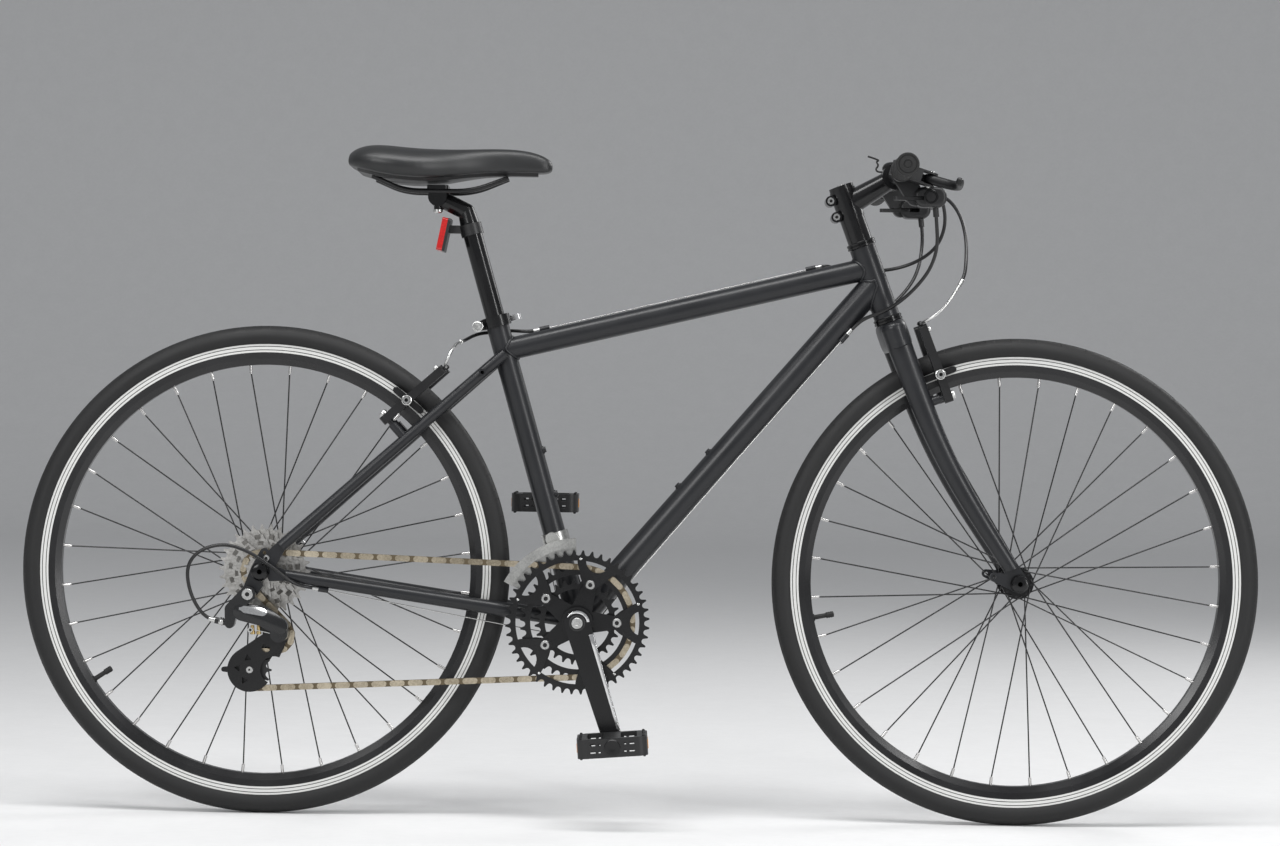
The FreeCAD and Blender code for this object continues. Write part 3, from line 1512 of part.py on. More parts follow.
def sprocket(teeth, phase, bore):
    """A toothed outline with round seats for the rollers, as a face with a round hole."""
    edges, radius, step = [], pitch_radius(teeth), 2 * math.pi / teeth
    seat = roller_radius + roller_gap
    tip_radius = radius + tooth_rise
    turn = math.radians(seat_half_turn)

    def polar(length, angle):
        return V(length * math.cos(angle), length * math.sin(angle), 0)

    def on_seat_round(angle, swing):
        return polar(radius, angle) + polar(seat, angle + math.pi + swing)

    for n in range(teeth):
        here, after = phase + n * step, phase + (n + 1) * step
        edges.append(Part.Arc(on_seat_round(here, turn), on_seat_round(here, 0),
                              on_seat_round(here, -turn)).toShape())
        tip_in = polar(tip_radius, here + step * (1 - tooth_tip_share) / 2)
        tip_out = polar(tip_radius, here + step * (1 + tooth_tip_share) / 2)
        edges.append(Part.makeLine(on_seat_round(here, -turn), tip_in))
        edges.append(Part.makeLine(tip_in, tip_out))
        edges.append(Part.makeLine(tip_out, on_seat_round(after, turn)))
    outline = Part.Wire(edges)
    hole = Part.Wire(Part.makeCircle(bore))
    return Part.makeFace([outline, hole], "Part::FaceMakerBullseye")


def upright(face, centre, y, thick):
    """A flat face made into a plate of a thickness, standing fore and aft at a distance to the side."""
    plate = face.extrude(V(0, 0, thick))
    plate.Placement = frame_at(V(centre.x, y + thick / 2, centre.z), V(1, 0, 0), V(0, 0, 1))
    return plate


# Rear derailleur places: its bolt on the hanger, the cage's pivot, and the two pulleys on the cage
cage_pivot_ahead = 28.5
cage_pivot_low = 85.0
guide_back = 8.0
guide_low = 5.0
tension_arm = 68.0
tension_angle_start = 205.0
tension_angle_end = 262.0
solve_steps = 50
step_share = 0.5
close_steps = 6
close_limit = 1e-9

cage_pivot = rear_axle_at + V(cage_pivot_ahead, chain_y, -cage_pivot_low)
guide_at = cage_pivot - V(guide_back, 0, guide_low)
ring_at = V(bb.x, chain_y, bb.z)
cog_at = V(rear_axle_x, chain_y, axle_z)


def belt(wheels):
    """The closed line round several wheels: (centre, radius, sense) in order, as arcs and runs."""
    contacts = []
    count = len(wheels)
    for n in range(count):
        (a, ra, sa), (b, rb, sb) = wheels[n], wheels[(n + 1) % count]
        run = b - a
        lean = math.asin((sa * ra - sb * rb) / run.Length)
        heading = math.atan2(run.z, run.x) + lean
        normal = V(math.sin(heading), 0, -math.cos(heading))
        contacts.append((a + normal * (sa * ra), b + normal * (sb * rb)))
    return contacts


def belt_walker(wheels):
    """Pieces of the belt in order: ("run", start, end) and ("arc", centre, radius, from, sweep)."""
    contacts = belt(wheels)
    pieces = []
    for n, (start, end) in enumerate(contacts):
        pieces.append(("run", start, end))
        centre, radius, sense = wheels[(n + 1) % len(wheels)]
        leave = contacts[(n + 1) % len(wheels)][0]
        first = math.atan2(end.z - centre.z, end.x - centre.x)
        last = math.atan2(leave.z - centre.z, leave.x - centre.x)
        sweep = (last - first) % (2 * math.pi) if sense > 0 else -((first - last) % (2 * math.pi))
        pieces.append(("arc", centre, radius, first, sweep))
    return pieces


def links_of(pieces):
    """How many chain pitches the belt holds, counting chords on its arcs."""
    total = 0.0
    for piece in pieces:
        if piece[0] == "run":
            total += (piece[2] - piece[1]).Length / pitch
        else:
            chord = 2 * math.asin(pitch / 2 / piece[2])
            total += abs(piece[4]) / chord
    return total


def wheels_with(angle):
    """The four wheels in the chain's order, with the tension pulley at an angle about the cage pivot."""
    turn = math.radians(angle)
    tension = cage_pivot + V(math.cos(turn), 0, math.sin(turn)) * tension_arm
    return [
        (ring_at, pitch_radius(ring_teeth[ring_in_use]), 1),
        (cog_at, pitch_radius(cog_teeth[cog_in_use]), 1),
        (guide_at, pitch_radius(guide_teeth), -1),
        (tension, pitch_radius(tension_teeth), 1),
    ]


def solve_tension():
    """The cage angle nearest its middle at which the chain has an even number of links."""
    low, high = tension_angle_start, tension_angle_end
    middle = links_of(belt_walker(wheels_with((low + high) / 2)))
    target = 2 * round(middle / 2)
    rising = links_of(belt_walker(wheels_with(high))) > links_of(belt_walker(wheels_with(low)))
    for _ in range(solve_steps):
        angle = (low + high) / 2
        more = links_of(belt_walker(wheels_with(angle))) < target
        if more == rising:
            low = angle
        else:
            high = angle
    return (low + high) / 2, target


def point_on(pieces, pins):
    """The place on the belt a number of pitches from its start."""
    for piece in pieces:
        if piece[0] == "run":
            length = (piece[2] - piece[1]).Length / pitch
            if pins <= length:
                return piece[1] + (piece[2] - piece[1]) * (pins / length)
        else:
            chord = 2 * math.asin(pitch / 2 / piece[2])
            length = abs(piece[4]) / chord
            if pins <= length:
                angle = piece[3] + piece[4] * pins / length
                return piece[1] + V(math.cos(angle), 0, math.sin(angle)) * piece[2]
        pins -= length
    return pieces[0][1]


def step_pins(line, count):
    """Pins one straight pitch apart along the belt, and how far past its end the last one lands."""
    total = links_of(line)
    places, walked = [line[0][1]], 0.0
    for _ in range(count):
        low, high = walked + step_share, walked + 2 - step_share
        for _ in range(solve_steps):
            middle = (low + high) / 2
            if (point_on(line, middle % total) - places[-1]).Length < pitch:
                low = middle
            else:
                high = middle
        walked = high
        places.append(point_on(line, walked % total))
    return places[:count], walked - total


def close_chain(angle, count):
    """The cage angle at which the stepped pins meet their own start."""
    other = angle + step_share
    miss = step_pins(belt_walker(wheels_with(angle)), count)[1]
    for _ in range(close_steps):
        miss_other = step_pins(belt_walker(wheels_with(other)), count)[1]
        if abs(miss_other - miss) < close_limit:
            break
        angle, other, miss = other, other - miss_other * (other - angle) / (miss_other - miss), miss_other
    return other


solved_angle, link_count = solve_tension()
cage_angle = close_chain(solved_angle, link_count)
wheels = wheels_with(cage_angle)
tension_at = wheels[3][0]
pins, chain_miss = step_pins(belt_walker(wheels), link_count)
print("cage angle", round(cage_angle, 3), "links", link_count, "tension pulley", tension_at)
print("chain closes within", round(chain_miss * pitch, 5))


def seat_phase(centre, radius):
    """The angle of a chain pin that lies on a wheel."""
    on_wheel = [p for p in pins if abs((p - centre).Length - radius) < roller_gap]
    middle = on_wheel[len(on_wheel) // 2]
    return math.atan2(middle.z - centre.z, middle.x - centre.x)


plate_half = 4.1
plate_thick = 0.9
inner_half = 1.25
plate_gap = 0.1
pin_radius = 1.8
pin_rise = 0.25


def chain():
    """Inner links with rollers and outer links with pins, in turn, along the pins."""
    inner_out = inner_half + plate_thick
    outer_in = inner_out + plate_gap
    outer_out = outer_in + plate_thick
    flat = FreeCAD.Placement()
    ends = ((0, 0), plate_half, (pitch, 0), plate_half)
    bores, rollers, rods = [], [], []
    for x in (0, pitch):
        low = V(x, 0, -outer_out)
        bores.append(rod(low, V(x, 0, outer_out), pin_radius + running_gap))
        rollers.append(rod(V(x, 0, -inner_half), V(x, 0, inner_half), roller_radius))
        rods.append(rod(V(x, 0, -outer_out - pin_rise), V(x, 0, outer_out + pin_rise), pin_radius))
    plates = []
    for start in (-inner_out, inner_half, -outer_out, outer_in):
        plate = link_plate(*ends, plate_thick, flat)
        plate.translate(V(0, 0, start))
        plates.append(plate)
    inner = cut(fuse(plates[:2] + rollers), bores)
    outer = fuse(plates[2:] + rods)
    links = []
    for n, here in enumerate(pins):
        after = pins[(n + 1) % link_count]
        way = (after - here).normalize()
        link = (outer if n % 2 else inner).copy()
        link.Placement = frame_at(here, way, LEFT.cross(way))
        links.append(link)
    keep("chain", *links)


chain()


def cassette():
    """Eight cogs on the freehub body, with the lock ring outside the smallest."""
    solids = []
    first_y = chain_y - cog_in_use * cog_step
    seat_angle_now = seat_phase(cog_at, pitch_radius(cog_teeth[cog_in_use]))
    for n, teeth in enumerate(cog_teeth):
        face = sprocket(teeth, seat_angle_now, freehub_radius)
        solids.append(upright(face, cog_at, first_y + n * cog_step, sprocket_thick))
    inner = first_y + (len(cog_teeth) - 1) * cog_step + cog_step / 2
    inner = min(inner, -rear_right_end - fit_gap)
    outer = first_y - lock_length
    profile = [
        (outer, axle_radius + running_gap),
        (outer, freehub_radius),
        (inner, freehub_radius),
        (inner, axle_radius + running_gap),
    ]
    solids.append(hub_turned(profile, rear_axle_at))
    keep("cassette", *solids)


cassette()


def spider_way(k):
    """The direction of one spider arm; the first lies behind the crank."""
    return spoke_way(crank_angle + 360.0 / spider_arms * k)


def chainrings():
    """Three rings, each a toothed band on five fanned tabs to its bolts, forked on the large one."""
    solids = []
    for n, (teeth, circle, round_in) in enumerate(zip(ring_teeth, ring_circles, ring_tabs)):
        radius = pitch_radius(teeth)
        fan = tab_fan_shares[n] * round_in
        phase = seat_phase(ring_at, radius) if n == ring_in_use else 0.0
        y = chain_y + (n - ring_in_use) * ring_step
        low, high = y - sprocket_thick / 2, y + sprocket_thick / 2
        band_middle = radius - ring_band / 2
        pieces = [upright(sprocket(teeth, phase, radius - ring_band), ring_at, y, sprocket_thick)]
        trim = across((bb.x, bb.z), band_middle, low, high)
        for k in range(spider_arms):
            start = bb + spider_way(k) * circle
            end = bb + spider_way(k) * band_middle
            tab = side_plate((start.x, start.z), round_in, (end.x, end.z), fan, low, high).common(trim)
            if n == 0:
                gap_at = bb + spider_way(k) * (radius - tab_window_in)
                tab = cut(tab, [across((gap_at.x, gap_at.z), tab_window, low, high)])
            pieces.append(tab)
        solids.append(main_solid(pieces[0].fuse(pieces[1:])))
    keep("chainrings", *solids)


chainrings()

# Cranks on their spindle, and the two platform pedals
cap_inset = 1.0
rib_height = 3.0


def crank_tip_at(side):
    """Where a pedal screws into its crank: the right crank leads, the left one is opposite."""
    return bb + spoke_way(crank_angle if side < 0 else crank_angle + 180.0) * crank_length


def crank(side):
    """One crank arm, thick at the spindle and slim at the pedal, with a spider on the right."""
    tip = crank_tip_at(side)
    y_from = crank_inner if side > 0 else -crank_inner - crank_thick
    y_to = y_from + crank_thick
    arm = side_plate((bb.x, bb.z), crank_root, (tip.x, tip.z), crank_tip, y_from, y_to)
    pieces = [arm]
    if side < 0:
        y_ring = chain_y - ring_step
        plate_from = y_ring + sprocket_thick / 2 + running_gap
        plate_to = chain_y - sprocket_thick / 2 - running_gap
        pieces.append(across((bb.x, bb.z), spider_hub, y_from + crank_thick / 2, plate_to))
        for k in range(spider_arms):
            end = bb + spider_way(k) * bolt_circle
            pieces.append(side_plate((bb.x, bb.z), spider_hub - spider_arm_half / 2, (end.x, end.z),
                                     spider_arm_half, plate_from, plate_to))
            post = bb + spider_way(k) * small_circle
            small_ring = chain_y + ring_step - sprocket_thick / 2 - running_gap
            pieces.append(across((post.x, post.z), small_post, plate_from, small_ring))
    else:
        pieces.append(across((bb.x, bb.z), crank_root, shell_width / 2 + 2 * unit_lip, y_to))
    bores = [across((bb.x, bb.z), spindle_end, -crank_inner - crank_thick, crank_inner + crank_thick),
             across((tip.x, tip.z), pedal_axle_radius, y_from, y_to)]
    return cut(fuse(pieces), bores)


def pedal_axle(side):
    """The steel axle screwed into the crank's tip."""
    tip = crank_tip_at(side)
    start = V(tip.x, side * crank_inner, tip.z)
    length = crank_thick + pedal_gap + pedal_width - cap_inset * 4
    collar = rod(start + LEFT * (side * crank_thick), start + LEFT * (side * (crank_thick + pedal_gap / 2)),
                 pedal_axle_radius + rib_height)
    return fuse([rod(start, start + LEFT * (side * length), pedal_axle_radius), collar])


def pedal(name, side, tilt):
    """A platform: a barrel on the axle, front and rear bars, and two slotted side rails."""
    tip = crank_tip_at(side)
    block = Part.makeBox(2 * pedal_half, pedal_width, pedal_thick)
    corners = [e for e in block.Edges if abs(e.tangentAt(e.FirstParameter).z) > 0.5]
    block = block.makeFillet(pedal_corner, corners)
    block.translate(V(-pedal_half, 0, -pedal_thick / 2))
    window_long = pedal_half - pedal_bar - pedal_barrel
    windows = []
    for x in (pedal_barrel, -pedal_half + pedal_bar):
        window = Part.makeBox(window_long, pedal_width - 2 * pedal_side, 2 * pedal_thick)
        corners = [e for e in window.Edges if abs(e.tangentAt(e.FirstParameter).z) > 0.5]
        window = window.makeFillet(rib_height, corners)
        window.translate(V(x, pedal_side, -pedal_thick))
        windows.append(window)
    for along, width in slot_rows:
        for x, z in ((along, slot_rise), (along, -slot_rise), (-along, slot_rise), (-along, -slot_rise)):
            slot = Part.makeBox(width, pedal_width, slot_height)
            slot.translate(V(x - width / 2, 0, z - slot_height / 2))
            windows.append(slot)
    barrel = rod(V(0, 0, 0), V(0, pedal_width, 0), pedal_barrel)
    bore_depth = pedal_width - cap_inset * 3
    bore = rod(V(0, 0, 0), V(0, bore_depth, 0), pedal_axle_radius + running_gap)
    if side < 0:
        bore = rod(V(0, pedal_width - bore_depth, 0), V(0, pedal_width, 0), pedal_axle_radius + running_gap)
    body = cut(fuse([cut(block, windows), barrel]), [bore])
    body.rotate(V(0, 0, 0), LEFT, -tilt)
    inner = crank_inner + crank_thick + pedal_gap
    body.translate(V(tip.x, inner if side > 0 else -inner - pedal_width, tip.z))
    keep(name, body)


def cranks():
    """Both cranks with their pedal axles, the spindle, and the pedals."""
    keep("right_crank", crank(-1), pedal_axle(-1))
    keep("left_crank", crank(1), pedal_axle(1))
    end = crank_inner + crank_thick - cap_inset
    step = shell_width / 2 + unit_lip
    thick_to = step + unit_lip / 2
    profile = [(-end, 0.0), (-end, spindle_end), (-thick_to, spindle_end), (-thick_to, spindle_radius),
               (thick_to, spindle_radius), (thick_to, spindle_end), (end, spindle_end), (end, 0.0)]
    keep("crank_spindle", hub_turned(profile, bb))
    pedal("right_pedal", -1, right_pedal_tilt)
    pedal("left_pedal", 1, 0.0)


cranks()

# Rear derailleur: knuckle on the hanger, parallel links, and the sprung cage with its two pulleys
knuckle_round = 11.0
knuckle_out = 17.0
knuckle_back = 22.0
knuckle_low = 21.0
knuckle_low_round = 9.0
cover_back = 7.0
cover_low = 25.0
cover_round = 12.0
crown_ahead = 21.0
crown_low = 30.0
crown_round = 13.5
cover_end_rise = 10.0
cover_proud = 2.0
cover_deep = 13.0
cover_bulge = 22.0
pivot_round = 12.0
link_round = 6.0
link_thick = 4.0
cage_half = 6.2
cage_thick = 1.8
cage_top_round = 12.0
cage_low_round = 31.0
cage_inner_round = 15.0
cage_window = 5.5
cage_window_circle = 16.5
cage_window_angles = (100.0, 172.0, 244.0)
arm_window = 6.0
arm_window_share = 0.36
scoop_round = 19.0
scoop_ahead = 34.0
ear_out = 36.0
ear_round = 3.5
cage_stub = 7.0
cage_stub_length = 13.0
barrel_root_back = 24.0
barrel_root_low = 41.0
barrel_root_round = 6.5
barrel_back = 21.0
barrel_rise = 4.0
mech_barrel = 4.5

hanger_at = (rear_axle_x - hanger_back, axle_z - hanger_low)
knuckle_end = (hanger_at[0] - knuckle_back, hanger_at[1] - knuckle_low)
cover_start = (hanger_at[0] - cover_back, hanger_at[1] - cover_low)
cover_crown = (hanger_at[0] + crown_ahead, hanger_at[1] - crown_low)
cage_at = (cage_pivot.x, cage_pivot.z)
cage_out = chain_y - cage_half - cage_thick
knuckle_y = -dropout_inner - dropout_thick


def mech_cover(face_y):
    """The crowned cover over the parallel link, from the knuckle to the cage's pivot."""
    end = (cage_at[0], cage_at[1] + cover_end_rise)
    back_y = face_y + cover_deep
    flat = fuse([
        side_plate(cover_start, cover_round, cover_crown, crown_round, face_y, back_y),
        side_plate(cover_crown, crown_round, end, pivot_round, face_y, back_y),
    ])
    run = V(end[0] - cover_start[0], 0, end[1] - cover_start[1])
    middle = V(cover_start[0], face_y + cover_bulge, cover_start[1]) + run / 2
    return flat.common(rod(middle - run, middle + run, cover_bulge))


def rear_derailleur():
    """The fixed part: bolt, knuckle, cover, link and the housing of the cage's spring."""
    outer = knuckle_y - knuckle_out
    root = (hanger_at[0] - barrel_root_back, hanger_at[1] - barrel_root_low)
    solids = [
        across(hanger_at, hanger_hole, outer, -dropout_inner),
        side_plate(hanger_at, knuckle_round, knuckle_end, knuckle_low_round, outer, knuckle_y),
        side_plate(knuckle_end, knuckle_low_round, root, barrel_root_round, outer, knuckle_y),
        mech_cover(outer - cover_proud),
        side_plate(cover_start, link_round, cage_at, link_round, knuckle_y - link_thick, knuckle_y),
        across(cover_start, link_round, outer, knuckle_y),
        across(cage_at, pivot_round, outer, cage_out - fit_gap),
    ]
    barrel_start = V(root[0], outer + knuckle_out / 2, root[1])
    barrel_end = barrel_start + V(-barrel_back, 0, barrel_rise)
    solids.append(rod(barrel_start, barrel_end, mech_barrel))
    bore = across(cage_at, cage_stub + running_gap, cage_out - cage_stub_length - fit_gap, cage_out)
    keep("rear_derailleur", main_solid(cut(fuse(solids), [bore])))
    return barrel_end


def cage_gap(angle):
    """One three-cornered window of the round cage plate."""
    middle = V(tension_at.x, cage_out, tension_at.z) + spoke_way(angle) * cage_window_circle
    corners = [middle + spoke_way(angle + turn) * cage_window for turn in (0, 120, 240, 360)]
    return Part.Face(Part.makePolygon(corners)).extrude(LEFT * cage_thick)


def derailleur_cage():
    """Two side plates held apart by the pulley bolts, with the stub that turns in the knuckle."""
    guide = (guide_at.x, guide_at.z)
    tension = (tension_at.x, tension_at.z)
    edge = cage_out + cage_thick
    outer = side_plate(cage_at, cage_top_round, tension, cage_low_round, cage_out, edge)
    ear = side_plate(tension, 2 * ear_round, (tension[0] - ear_out, tension[1]), ear_round, cage_out, edge)
    arm_gap = guide_at + (tension_at - guide_at) * arm_window_share
    scoop = (tension[0] + scoop_ahead, tension[1])
    windows = [cage_gap(angle) for angle in cage_window_angles]
    windows.append(across((arm_gap.x, arm_gap.z), arm_window, cage_out, edge))
    windows.append(across(scoop, scoop_round, cage_out, edge))
    inner_y = chain_y + cage_half
    inner = side_plate(guide, cage_top_round, tension, cage_inner_round, inner_y, inner_y + cage_thick)
    bolt_radius = pulley_bore - running_gap
    bolts = [across(at, bolt_radius, cage_out, inner_y + cage_thick) for at in (guide, tension)]
    stub = across(cage_at, cage_stub, cage_out - cage_stub_length, edge)
    keep("derailleur_cage", fuse([cut(fuse([outer, ear]), windows), inner, stub] + bolts))


def pulley(name, at, teeth):
    """A toothed pulley with a boss that keeps it clear of both plates."""
    phase = seat_phase(at, pitch_radius(teeth))
    disc_plate = upright(sprocket(teeth, phase, pulley_bore), at, chain_y, sprocket_thick)
    boss_half = cage_half - fit_gap
    boss = across((at.x, at.z), pulley_boss, chain_y - boss_half, chain_y + boss_half)
    bore = across((at.x, at.z), pulley_bore, chain_y - boss_half, chain_y + boss_half)
    keep(name, cut(fuse([disc_plate, boss]), [bore]))


mech_barrel_end = rear_derailleur()
derailleur_cage()
pulley("guide_pulley", guide_at, guide_teeth)
pulley("tension_pulley", tension_at, tension_teeth)

# Front derailleur: a band on the seat tube that carries a cage round the chain
band_up = 121.0
band_height = 14.0
band_thick = 3.5
band_arm_round = 9.0
band_arm_back = 4.0
plate_outer_low = 103.5
plate_inner_low = 93.0
plate_high = 117.0
plate_front = 92.0
plate_back = 152.0
cage_plate = 1.2
cage_side = 3.9
bridge_front = 97.0
bridge_back = 114.0
bridge_thick = 3.0
tail_radius = 2.5
tail_in = 6.0


def sector(low, high, start, end, y_from, y_to):
    """A curved band about the bottom bracket, between two radii and two angles."""
    def at(radius, angle):
        return V(bb.x, 0, bb.z) + spoke_way(angle) * radius

    middle = (start + end) / 2
    edges = [
        Part.Arc(at(high, start), at(high, middle), at(high, end)).toShape(),
        Part.makeLine(at(high, end), at(low, end)),
        Part.Arc(at(low, end), at(low, middle), at(low, start)).toShape(),
        Part.makeLine(at(low, start), at(high, start)),
    ]
    face = Part.Face(Part.Wire(edges))
    face.translate(LEFT * y_from)
    return face.extrude(LEFT * (y_to - y_from))


def front_derailleur():
    """The band, its arm to the right, and the cage of two plates with its bridge and tail."""
    low = on_seat(band_up - band_height / 2)
    high = on_seat(band_up + band_height / 2)
    band = rod(low, high, seat_tube_od / 2 + band_thick)
    outer_y = chain_y - cage_side
    inner_y = chain_y + cage_side
    plates = [
        sector(plate_outer_low, plate_high, plate_front, plate_back, outer_y - cage_plate, outer_y),
        sector(plate_inner_low, plate_high, plate_front, plate_back, inner_y, inner_y + cage_plate),
        sector(plate_high - bridge_thick, plate_high, bridge_front, bridge_back, outer_y, inner_y),
    ]
    tail_at = V(bb.x, 0, bb.z) + spoke_way(plate_back - tail_radius) * (plate_high - tail_in)
    tail = across((tail_at.x, tail_at.z), tail_radius, outer_y, inner_y)
    arm_mid = on_seat(band_up, -band_arm_back)
    arm_at = (arm_mid.x, arm_mid.z)
    arm = across(arm_at, band_arm_round, inner_y, 0.0)
    drop = V(bb.x, 0, bb.z) + spoke_way((bridge_front + bridge_back) / 2) * (plate_high - bridge_thick / 2)
    foot = side_plate(arm_at, band_arm_round, (drop.x, drop.z), band_arm_back, inner_y,
                      inner_y + 2 * cage_plate)
    body = fuse([band, arm, foot] + plates + [tail])
    keep("front_derailleur", main_solid(cut(body, [seat_out])))


front_derailleur()

# Cables: housings round the head tube, bare wires along the tubes, and the two brake noodles
noodle_radius = 2.2
boot_length = 26.0
boot_start = 30.0
anchor_side = 38.0
wire_rise = noodle_radius + fit_gap
tight_reach = 6.0
under_turns = (-62.0, -90.0)
behind_turns = (-130.0, -165.0)
wire_leave = 60.0
guide_clear = 1.2
cord_lead = 14.0
rear_noodle_rows = [
    (37.6, 13.5, -14.0), (33.5, 14.5, -38.0), (23.5, 11.5, -57.0), (9.5, 5.0, -64.0), (0.8, 0.8, -56.0),
]
front_noodle_rows = [
    (32.2, 67.1, -49.0), (15.6, 46.0, -60.0), (4.1, 22.5, -66.0), (0.6, 6.2, -62.0), (0.0, 0.7, -52.0),
]
rear_brake_rows = [
    (0.07, 28.0, 30.5, 0.7), (0.14, 53.7, 45.4, -12.1), (0.26, 75.4, 53.7, -28.0),
    (0.41, 87.3, 60.1, -38.4), (0.59, 88.4, 60.5, -36.3), (0.74, 77.3, 53.9, -29.6),
    (0.84, 56.2, 40.8, -21.4), (0.92, 32.3, 23.3, -11.5), (0.95, 16.5, 14.4, -4.0),
]
front_brake_rows = [
    (0.15, 9.4, -13.8, 19.5), (0.28, 30.7, -13.3, 30.8), (0.48, 35.8, -15.8, 33.8),
    (0.70, 29.8, -12.8, 27.7), (0.88, 17.2, -5.7, 14.9),
]
left_shift_rows = [
    (0.22, 24.3, 11.6, -2.5), (0.36, 35.1, 10.6, -2.3), (0.50, 40.9, 8.5, -2.0),
    (0.66, 38.0, 6.5, -1.9), (0.79, 26.7, 2.5, -1.3), (0.86, 7.6, -7.5, 0.9),
]
right_shift_rows = [
    (0.22, 28.3, -12.6, -0.7), (0.36, 41.1, -10.6, -0.3), (0.50, 46.9, -8.5, 0.2),
    (0.66, 43.0, -6.5, -0.1), (0.79, 29.7, -2.5, -0.3), (0.86, 8.6, 7.5, 0.9),
]
rear_housing_rows = [
    (0.35, -5.0, 21.8, 5.8), (0.55, -6.9, 28.0, 6.8), (0.75, -6.8, 25.7, 7.8),
]
gear_loop_rows = [
    (0.20, -4.4, -11.4, 16.0), (0.29, -9.7, -15.9, 34.1), (0.39, -15.7, -16.2, 53.6),
    (0.53, -22.0, -15.9, 75.9), (0.70, -28.1, -13.0, 93.0), (0.91, -29.6, -8.5, 96.0),
    (1.06, -27.6, -5.0, 85.7), (1.14, -20.3, -1.7, 66.3), (1.15, -10.9, 0.5, 35.7),
]

def routed(start, way_start, end, way_end, rows):
    """A cord's points: straight out of both holders, and between by share of the way and offset."""
    middle = [start + (end - start) * share + V(*offset) for share, *offset in rows]
    return [start, start + way_start * cord_lead] + middle + [end + way_end * cord_lead, end]


def noodle_place(place, pivot_up, arm_out, rows):
    """A noodle's points by their rise over the brake's wire, their reach outwards and their side."""
    line_up = pivot_up + arm_length + arm_top_round + wire_rise
    return [place(line_up + rise, arm_out + reach, side) for rise, reach, side in rows]


def brake_wire(pivot_up, place, arm_out, rows):
    """The noodle on the right arm, the boot, and the wire across to the left arm."""
    ends = [(0.0, 0.0, -brake_pivot_y - wire_rise), (0.0, 0.0, -boot_start)]
    points = noodle_place(place, pivot_up, arm_out, rows + ends)
    noodle = cord(points, noodle_radius, "noodle")
    boot_end = points[-1] + LEFT * boot_length
    boot = rod(points[-1], boot_end, noodle_radius)
    wire = rod(boot_end, points[-1] + LEFT * (boot_start + anchor_side), inner_wire)
    return points[0], (points[0] - points[1]).normalize(), [noodle, boot, wire]


def barrel_end(side):
    """Where a brake housing leaves its lever's barrel."""
    return bar_point(side * perch_y) + lever_out * barrel_reach - LEFT * (side * (barrel_in + fit_gap))


def pod_end(side):
    """Where a gear housing leaves the barrel of its pod."""
    return pod_face(side) + pod_way(side) * (pod_barrel_length + fit_gap)


def steering_cables():
    """The three housings from the bar to the frame, and the front brake's cable on the fork."""
    half_stop = stop_length / 2
    top_front = top_side(top_stop_front + half_stop, stop_rise)
    rear_brake = routed(barrel_end(-1), LEFT, top_front, top_run, rear_brake_rows)
    housings = [cord(rear_brake, housing_radius, "rear brake")]
    for side, rows in ((1, left_shift_rows), (-1, right_shift_rows)):
        stop = down_side(down_stop + half_stop, side, stop_rise)
        shift = routed(pod_end(side), pod_way(side), stop, down_run, rows)
        housings.append(cord(shift, housing_radius, "shift"))
    keep("steering_housings", *housings)
    noodle_at, noodle_way, pieces = brake_wire(front_brake_up, on_steer, front_brake_out, front_noodle_rows)
    front_brake = routed(barrel_end(1), RIGHT, noodle_at, noodle_way, front_brake_rows)
    keep("front_brake_cable", cord(front_brake, housing_radius, "front brake"), *pieces)


def frame_cables():
    """The rear brake's wire and housing, both gear wires, and the loop to the rear derailleur."""
    half_stop = stop_length / 2
    top_start_wire = top_side(top_stop_front - half_stop, stop_rise)
    top_wire = rod(top_start_wire, top_side(top_stop_rear + half_stop, stop_rise), inner_wire)
    noodle_at, noodle_way, pieces = brake_wire(rear_brake_up, on_stay, rear_brake_out, rear_noodle_rows)
    top_rear = top_side(top_stop_rear - half_stop, stop_rise)
    rear_brake = routed(top_rear, top_run * -1, noodle_at, noodle_way, rear_housing_rows)
    rear_housing = cord(rear_brake, housing_radius, "rear housing")
    low_radius = shell_od / 2 + guide_drop + guide_radius + inner_wire + guide_clear
    wires = {}
    for side in (1, -1):
        under = [bb + spoke_way(turn) * low_radius + LEFT * (side * guide_half / 2) for turn in under_turns]
        leave = [down_side(along, side, stop_rise) for along in (down_stop - half_stop, wire_leave)]
        wires[side] = leave + under
    stay_way = (bb - LEFT * chain_stay_side - chain_foot + LEFT * stay_y).normalize()
    gear_wire = cord(wires[-1] + [stay_stop + stay_way * half_stop], inner_wire, "gear wire", tight_reach)
    wire_back = seat_tube_od / 2 + band_thick
    round_shell = [bb + spoke_way(turn) * low_radius for turn in behind_turns]
    up_tube = [on_seat(shell_od, -wire_back), on_seat(band_up - band_height, -wire_back)]
    front_wire = cord(wires[1] + round_shell + up_tube, inner_wire, "front gear wire", tight_reach)
    barrel_way = V(-barrel_back, 0, barrel_rise).normalize()
    stay_back = stay_stop - stay_way * half_stop
    loop_points = routed(stay_back, stay_way * -1, mech_barrel_end, barrel_way, gear_loop_rows)
    loop = cord(loop_points, housing_radius, "gear loop")
    keep("frame_cables", top_wire, rear_housing, *pieces, gear_wire, front_wire, loop)


steering_cables()
frame_cables()

os.makedirs("parts", exist_ok=True)
for name, shape in nodes.items():
    shape.exportStep("parts/" + name + ".step")
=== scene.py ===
import math

import bmesh
import bpy
from mathutils import Matrix, Vector


